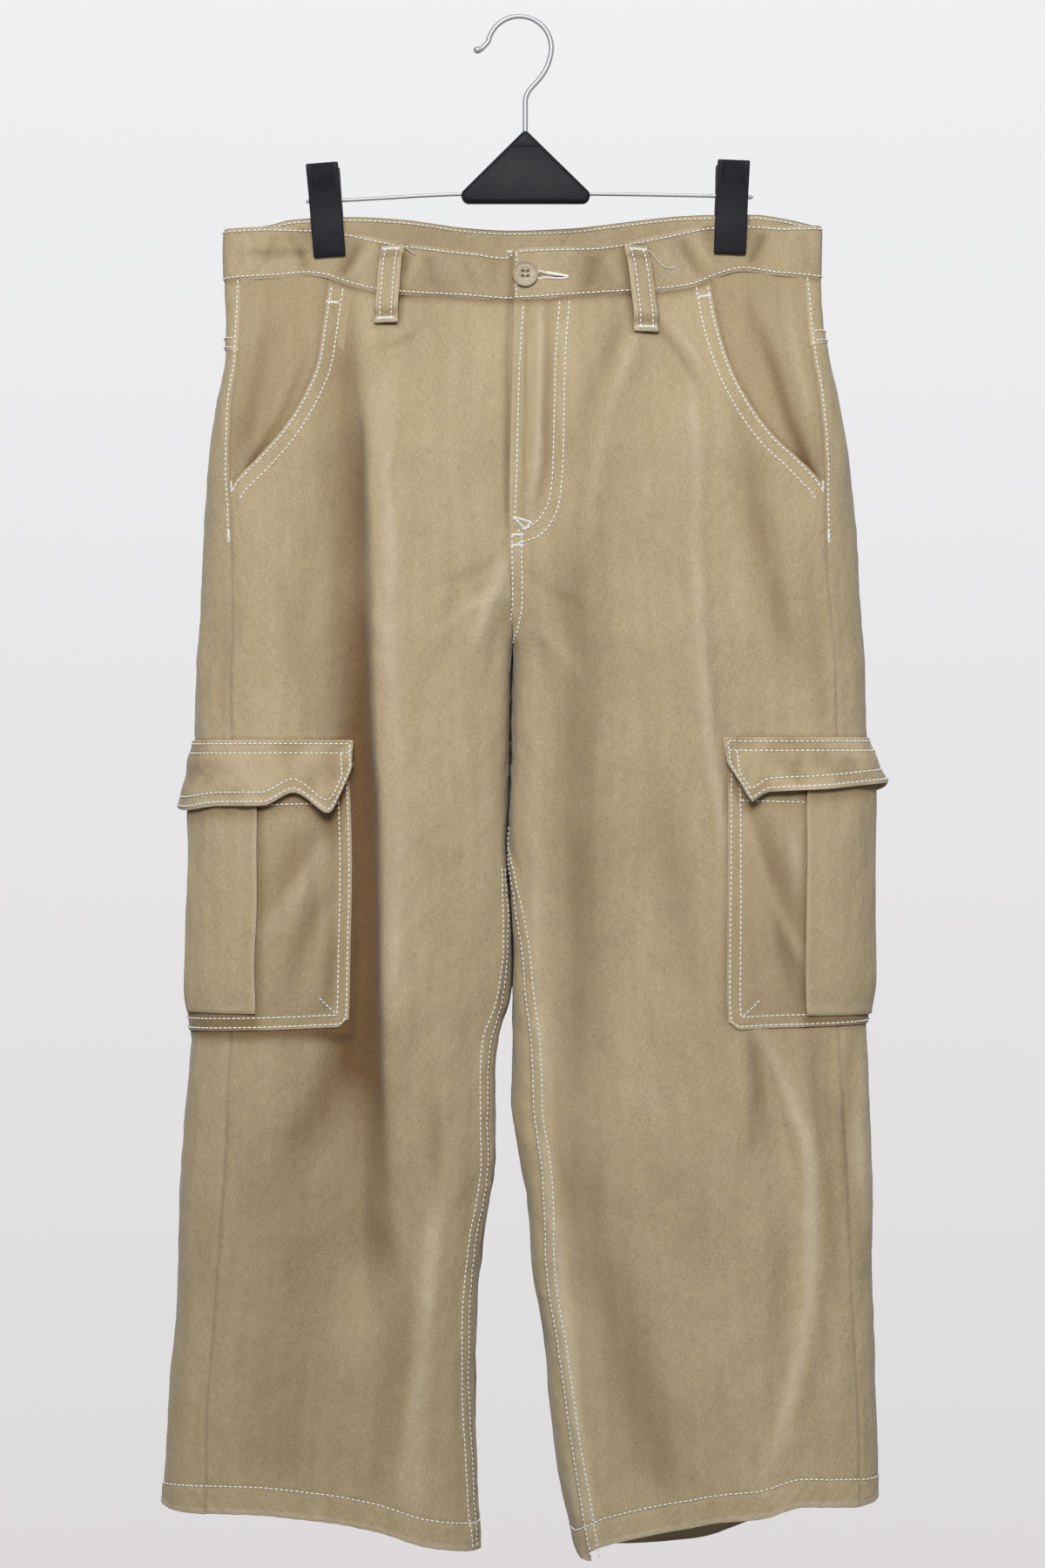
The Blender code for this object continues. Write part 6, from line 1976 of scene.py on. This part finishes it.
def hard_piece(obj, name, made_of, replaces, smooth=32.0):
    """Puts a finished hard piece at the origin and shades it."""
    chosen(obj)
    bpy.ops.object.transform_apply(location=True, rotation=True, scale=True)
    obj.name = name
    obj.data.materials.clear()
    obj.data.materials.append(MATERIALS[made_of])
    obj.data.shade_smooth()
    obj.data.set_sharp_from_angle(angle=math.radians(smooth))
    finished(obj, [replaces])


def button_frame():
    x, drop = BUTTON_AT
    point, outward = raised("left", turn_at("left", x, drop), drop, DRAWN_BAND / 2.0 + 0.3)
    turned = Vector(outward).to_track_quat("Z", "Y").to_matrix().to_4x4()
    return Matrix.Translation(Vector(point) * MM) @ turned


class JEANS_OT_button(bpy.types.Operator):
    """Add the waistband's four-hole button and the thread that holds it"""

    bl_idname = "jeans.button"
    bl_label = "Button"

    def execute(self, context):
        placed_at = button_frame()
        radius, height = BUTTON_RADIUS * MM, BUTTON_HEIGHT * MM
        bpy.ops.mesh.primitive_cylinder_add(vertices=56, radius=radius, depth=height)
        button = bpy.context.object
        edit_faces(button, lambda face: face.normal.z > 0.9)
        bpy.ops.mesh.inset(thickness=BUTTON_RIM * MM)
        bpy.ops.transform.translate(value=(0.0, 0.0, -BUTTON_DISH * MM))
        bpy.ops.mesh.inset(thickness=0.6 * MM)
        bpy.ops.object.mode_set(mode="OBJECT")
        round_edges(button, 0.5, 3, 30.0)
        for index in range(4):
            angle = math.tau * (index + 0.5) / 4
            at = (BUTTON_HOLE_RING * math.cos(angle) * MM, BUTTON_HOLE_RING * math.sin(angle) * MM, 0.0)
            radius = BUTTON_HOLE * MM
            bpy.ops.mesh.primitive_cylinder_add(vertices=18, radius=radius, depth=9 * MM, location=at)
            carve(button, bpy.context.object)
        round_edges(button, 0.12, 2, 50.0)
        button.matrix_world = placed_at @ Matrix.Translation((0.0, 0.0, BUTTON_HEIGHT / 2 * MM))
        hard_piece(button, "sewn_button", "button", "button")
        thread = Seams("button_thread", 24, "button")
        span = BUTTON_HOLE_RING / math.sqrt(2.0)
        turned = np.array(placed_at.to_3x3())
        centre = np.array(placed_at.translation) / MM
        for side in (-1.0, 1.0):
            for shift in (-0.35, 0.35):
                ends = np.array([(-span, side * span + shift, 0.0), (span, side * span + shift, 0.0)])
                level = BUTTON_HEIGHT - BUTTON_DISH + 0.1
                row = centre + (np.linspace(ends[0], ends[1], 5) + (0.0, 0.0, level)) @ turned.T
                thread.run(row, np.tile(turned[:, 2], (5, 1)), 2.0 * span, 2.0 * span + 0.6, 0.5)
        thread.build()
        return {"FINISHED"}


def tube(points, radii, sides):
    """Rings round a line in the x-z plane, closed to a rounded point at both ends."""
    way = unit(np.gradient(points, axis=0))
    across = np.stack([way[:, 2], 0.0 * way[:, 0], -way[:, 0]], axis=1)[:, None, :]
    angles = np.linspace(0.0, math.tau, sides, endpoint=False)[None, :, None]
    ring = np.cos(angles) * across + np.sin(angles) * np.array((0.0, 1.0, 0.0))
    verts = (points[:, None, :] + ring * radii[:, None, None]).reshape(-1, 3)
    last = (len(points) - 1) * sides
    faces = [
        (a + k, a + (k + 1) % sides, a + sides + (k + 1) % sides, a + sides + k)
        for a in range(0, last, sides) for k in range(sides)
    ]
    return verts, [*faces, tuple(range(sides - 1, -1, -1)), tuple(range(last, last + sides))]


def rounded_ends(points, radius, swell):
    """Lets a wire's two ends taper over one radius, so that they close to a dome."""
    dense = drawn(points, 0.8)
    gone = travelled(dense)
    left = np.minimum(gone, gone[-1] - gone) / radius
    dome = np.sqrt(np.clip(1.0 - (1.0 - np.clip(left, 0.04, 1.0)) ** 2, 0.0, 1.0))
    return dense, radius * (1.0 + swell * near(gone - 2.6, 2.2)) * dome


def hook_line():
    """The tip's small outward curl, the round crown, and the bend down into the stem."""
    points = [point[:2] for point in HOOK_TIP]
    centre_drop = HOOK_RADIUS - HOOK_WIRE / 2
    for degrees in np.linspace(HOOK_TIP_ANGLE, HOOK_BEND_ANGLE, HOOK_CROWN_POINTS):
        angle = math.radians(degrees)
        points.append((HOOK_RADIUS * math.cos(angle), centre_drop - HOOK_RADIUS * math.sin(angle)))
    points += list(HOOK_RETURN) + [(STEM_X, STEM_LOW)]
    return [(x, 0.0, -drop) for x, drop in points]


def add_wire(name, points, diameter, replaces, swell=0.0):
    verts, faces = tube(*rounded_ends(points, diameter / 2.0, swell), hanger().sides)
    finished(mesh_object(name, verts * MM, faces, "wire", smooth=60.0), [replaces])


class JEANS_OT_wires(bpy.types.Operator):
    """Add the hanger's hook and bar"""

    bl_idname = "jeans.wires"
    bl_label = "Hook and Bar"

    def execute(self, context):
        add_wire("wire_hook", hook_line(), HOOK_WIRE, "hanger_hook", 0.5)
        add_wire("wire_bar", [(x, 0.0, -drop) for x, drop in BAR_POINTS], BAR_WIRE, "hanger_bar")
        return {"FINISHED"}


def outline_prism(outline, depth, along_y):
    """A flat outline made solid with the extrude operator: it is drawn in x-z, or in y-z for a jaw."""
    deselect()
    bpy.ops.mesh.primitive_circle_add(vertices=len(outline), fill_type="NGON")
    obj = bpy.context.object
    half = depth / 2 * MM
    for vert, (first, drop) in zip(obj.data.vertices, outline):
        vert.co = (first * MM, -half, -drop * MM) if along_y else (-half, first * MM, -drop * MM)
    edit_faces(obj, lambda face: True)
    move = (0.0, depth * MM, 0.0) if along_y else (depth * MM, 0.0, 0.0)
    bpy.ops.mesh.extrude_region_move(TRANSFORM_OT_translate={"value": move})
    bpy.ops.mesh.select_all(action="SELECT")
    bpy.ops.mesh.normals_make_consistent(inside=False)
    bpy.ops.object.mode_set(mode="OBJECT")
    return obj


def box_cutter(low, high):
    bpy.ops.mesh.primitive_cube_add(size=1.0)
    cutter = bpy.context.object
    cutter.scale = [(b - a) * MM for a, b in zip(low, high)]
    cutter.location = [(a + b) / 2 * MM for a, b in zip(low, high)]
    return cutter


BLOCK_GROOVE = (-5.0, 14.0, 89.5)


class JEANS_OT_block(bpy.types.Operator):
    """Add the three-cornered block that joins the hook to the bar"""

    bl_idname = "jeans.block"
    bl_label = "Block"

    def execute(self, context):
        block = outline_prism(BLOCK_OUTLINE, BLOCK_DEPTH, True)
        round_edges(block, 3.2, 5, 30.0)
        x0, x1, drop = BLOCK_GROOVE
        for side in (-1.0, 1.0):
            low = (x0 - 4.0, side * BLOCK_DEPTH / 2 - 0.7, -drop - 0.5)
            high = (x1 + 4.0, side * BLOCK_DEPTH / 2 + 0.7, -drop + 0.5)
            carve(block, box_cutter(low, high))
        round_edges(block, 0.25, 2, 50.0)
        hard_piece(block, "moulded_block", "plastic", "hanger_block")
        return {"FINISHED"}


THUMB_HALF = 7.6
THUMB_LOW = 21.0
THUMB_CUTTER = 3.6
THUMB_SLOPE = 0.337
THUMB_AT = 17.4


class JEANS_OT_clips(bpy.types.Operator):
    """Add the two clips that grip the waistband, each with two jaws"""

    bl_idname = "jeans.clips"
    bl_label = "Clips"

    def execute(self, context):
        for clip in CLIPS:
            for face, side in (("front", 1.0), ("back", -1.0)):
                build_jaw(clip, face, side)
        return {"FINISHED"}


def build_jaw(clip, face, side):
    """One jaw, with a hollow for the thumb at its top."""
    jaw = outline_prism([(side * y, drop) for y, drop in JAW_PROFILE], JAW_WIDTH, False)
    round_edges(jaw, 1.1, 4, 35.0)
    outline = [(-THUMB_HALF, -4.0), (THUMB_HALF, -4.0)]
    for angle in np.linspace(0.0, math.pi, 12):
        outline.append((THUMB_HALF * math.cos(angle), THUMB_LOW - THUMB_HALF + THUMB_HALF * math.sin(angle)))
    hollow = outline_prism(outline, THUMB_CUTTER, True)
    hollow.rotation_euler = (THUMB_SLOPE * side, 0.0, 0.0)
    hollow.location = (0.0, -side * THUMB_AT * MM, 0.0)
    carve(jaw, hollow)
    round_edges(jaw, 0.5, 3, 30.0)
    jaw.location = (clip["x"] * MM, 0.0, -clip["top_drop"] * MM)
    jaw.rotation_euler = (0.0, math.radians(clip["lean_degrees"]), 0.0)
    name = f"clip_{clip['name']}_{face}"
    hard_piece(jaw, f"moulded_{name}", "plastic", name)


# ---------------- stage


CAMERA_LENS = 80.0
CAMERA_HEIGHT = -0.5271
CAMERA_X = 0.0021
COVE_RADIUS = 6.0
LIGHTS = (("key_light", 1.0, (-0.15, -2.8, 0.95)), ("back_light", 0.7, (0.2, 2.5, 1.9)))
LIGHT_SIZE = (1.3, 0.8)
LIGHT_AIM = (0.0, 0.0, -0.42)
COVE_TOP = (0.872, 0.880, 0.896)
COVE_LOW = (0.722, 0.694, 0.701)


class JEANS_OT_stage(bpy.types.Operator):
    """Add the pale cove, the large front light and the camera"""

    bl_idname = "jeans.stage"
    bl_label = "Studio"

    def execute(self, context):
        scene = context.scene
        scene.view_settings.view_transform = "Standard"
        scene.view_settings.look = "None"
        scene.world = bpy.data.worlds.new("studio_world")
        scene.world.use_nodes = True
        scene.world.node_tree.nodes["Background"].inputs["Color"].default_value = (*COVE_LOW, 1.0)
        scene.world.node_tree.nodes["Background"].inputs["Strength"].default_value = 0.2
        deselect()
        middle = (0.0, 0.0, -0.55)
        bpy.ops.mesh.primitive_uv_sphere_add(segments=96, ring_count=48, radius=COVE_RADIUS, location=middle)
        cove = bpy.context.object
        cove.name = "studio_cove"
        cove.data.shade_smooth()
        cove.data.materials.append(cove_material())
        bpy.ops.object.mode_set(mode="EDIT")
        bpy.ops.mesh.select_all(action="SELECT")
        bpy.ops.mesh.flip_normals()
        bpy.ops.object.mode_set(mode="OBJECT")
        for name, share, at in LIGHTS:
            data = bpy.data.lights.new(name, "AREA")
            data.shape = "RECTANGLE"
            data.size, data.size_y = LIGHT_SIZE
            data.energy = share * stage().key
            light = bpy.data.objects.new(name, data)
            scene.collection.objects.link(light)
            light.location = at
            light.rotation_euler = (Vector(LIGHT_AIM) - Vector(at)).to_track_quat("-Z", "Y").to_euler()
        camera_data = bpy.data.cameras.new("camera")
        camera_data.lens = CAMERA_LENS
        camera = bpy.data.objects.new("camera", camera_data)
        scene.collection.objects.link(camera)
        camera.location = (CAMERA_X, -stage().distance, CAMERA_HEIGHT)
        camera.rotation_euler = (math.radians(90.0), 0.0, 0.0)
        scene.camera = camera
        return {"FINISHED"}


def cove_material():
    """Glows, paler towards its top, and more behind the garment than in front of it."""
    shader = Shader("studio_cove", 1.0)
    at = shader.place("Object")
    height = shader.span(shader.node("ShaderNodeSeparateXYZ", {}, {"Vector": at}, "Z"), -1.9, 1.95)
    behind = shader.span(shader.node("ShaderNodeSeparateXYZ", {}, {"Vector": at}, "Y"), 2.5, 5.4)
    glow = shader.mix(height, COVE_LOW, COVE_TOP)
    shader.set("Base Color", (0.0, 0.0, 0.0))
    shader.set("Specular IOR Level", 0.0)
    shader.set("Emission Color", shader.mix(behind, tinted(COVE_TOP, stage().room), glow))
    shader.set("Emission Strength", stage().backdrop)
    return shader.material


# ---------------- add-on


SETTINGS = {
    "jeans_cloth": JeansCloth, "jeans_sewing": JeansSewing,
    "jeans_hanger": JeansHanger, "jeans_stage": JeansStage,
}
OPERATORS = (
    JEANS_OT_panels, JEANS_OT_yokes, JEANS_OT_waistband, JEANS_OT_fly, JEANS_OT_cargo_pockets, JEANS_OT_loops,
    JEANS_OT_body_sewing, JEANS_OT_band_sewing, JEANS_OT_cargo_sewing, JEANS_OT_button, JEANS_OT_wires,
    JEANS_OT_block, JEANS_OT_clips, JEANS_OT_stage,
)


class JEANS_PT_build(bpy.types.Panel):
    """The settings, and a button for each group of pieces"""

    bl_idname = "JEANS_PT_build"
    bl_label = "Cargo Jeans"
    bl_space_type = "VIEW_3D"
    bl_region_type = "UI"
    bl_category = "Jeans"

    def draw(self, context):
        layout = self.layout
        for setting in SETTINGS:
            group = getattr(context.scene, setting)
            box = layout.box()
            for name in group.__annotations__:
                box.prop(group, name)
        for operator in OPERATORS:
            layout.operator(operator.bl_idname)


def register():
    for kind in (*SETTINGS.values(), *OPERATORS, JEANS_PT_build):
        bpy.utils.register_class(kind)
    for name, kind in SETTINGS.items():
        setattr(bpy.types.Scene, name, PointerProperty(type=kind))


def unregister():
    for name in SETTINGS:
        delattr(bpy.types.Scene, name)
    for kind in (JEANS_PT_build, *reversed(OPERATORS), *reversed(SETTINGS.values())):
        bpy.utils.unregister_class(kind)


def make_materials():
    MATERIALS["twill"] = twill("twill")
    # Painted light: the band and loops get a darker copy of the twill, and the cargo pieces a lighter one.
    MATERIALS["twill_band"] = twill("twill_band", 0.95)
    MATERIALS["twill_light"] = twill("twill_light", 1.05)
    MATERIALS["thread"] = thread_material()
    MATERIALS["plastic"] = plastic_material()
    MATERIALS["wire"] = wire_material()
    MATERIALS["button"] = button_material()
    MATERIALS["zip"] = zip_material()


def main():
    register()
    deselect()
    make_materials()
    for operator in OPERATORS:
        getattr(bpy.ops.jeans, operator.bl_idname.split(".")[1])()


if __name__ == "__main__":
    main()
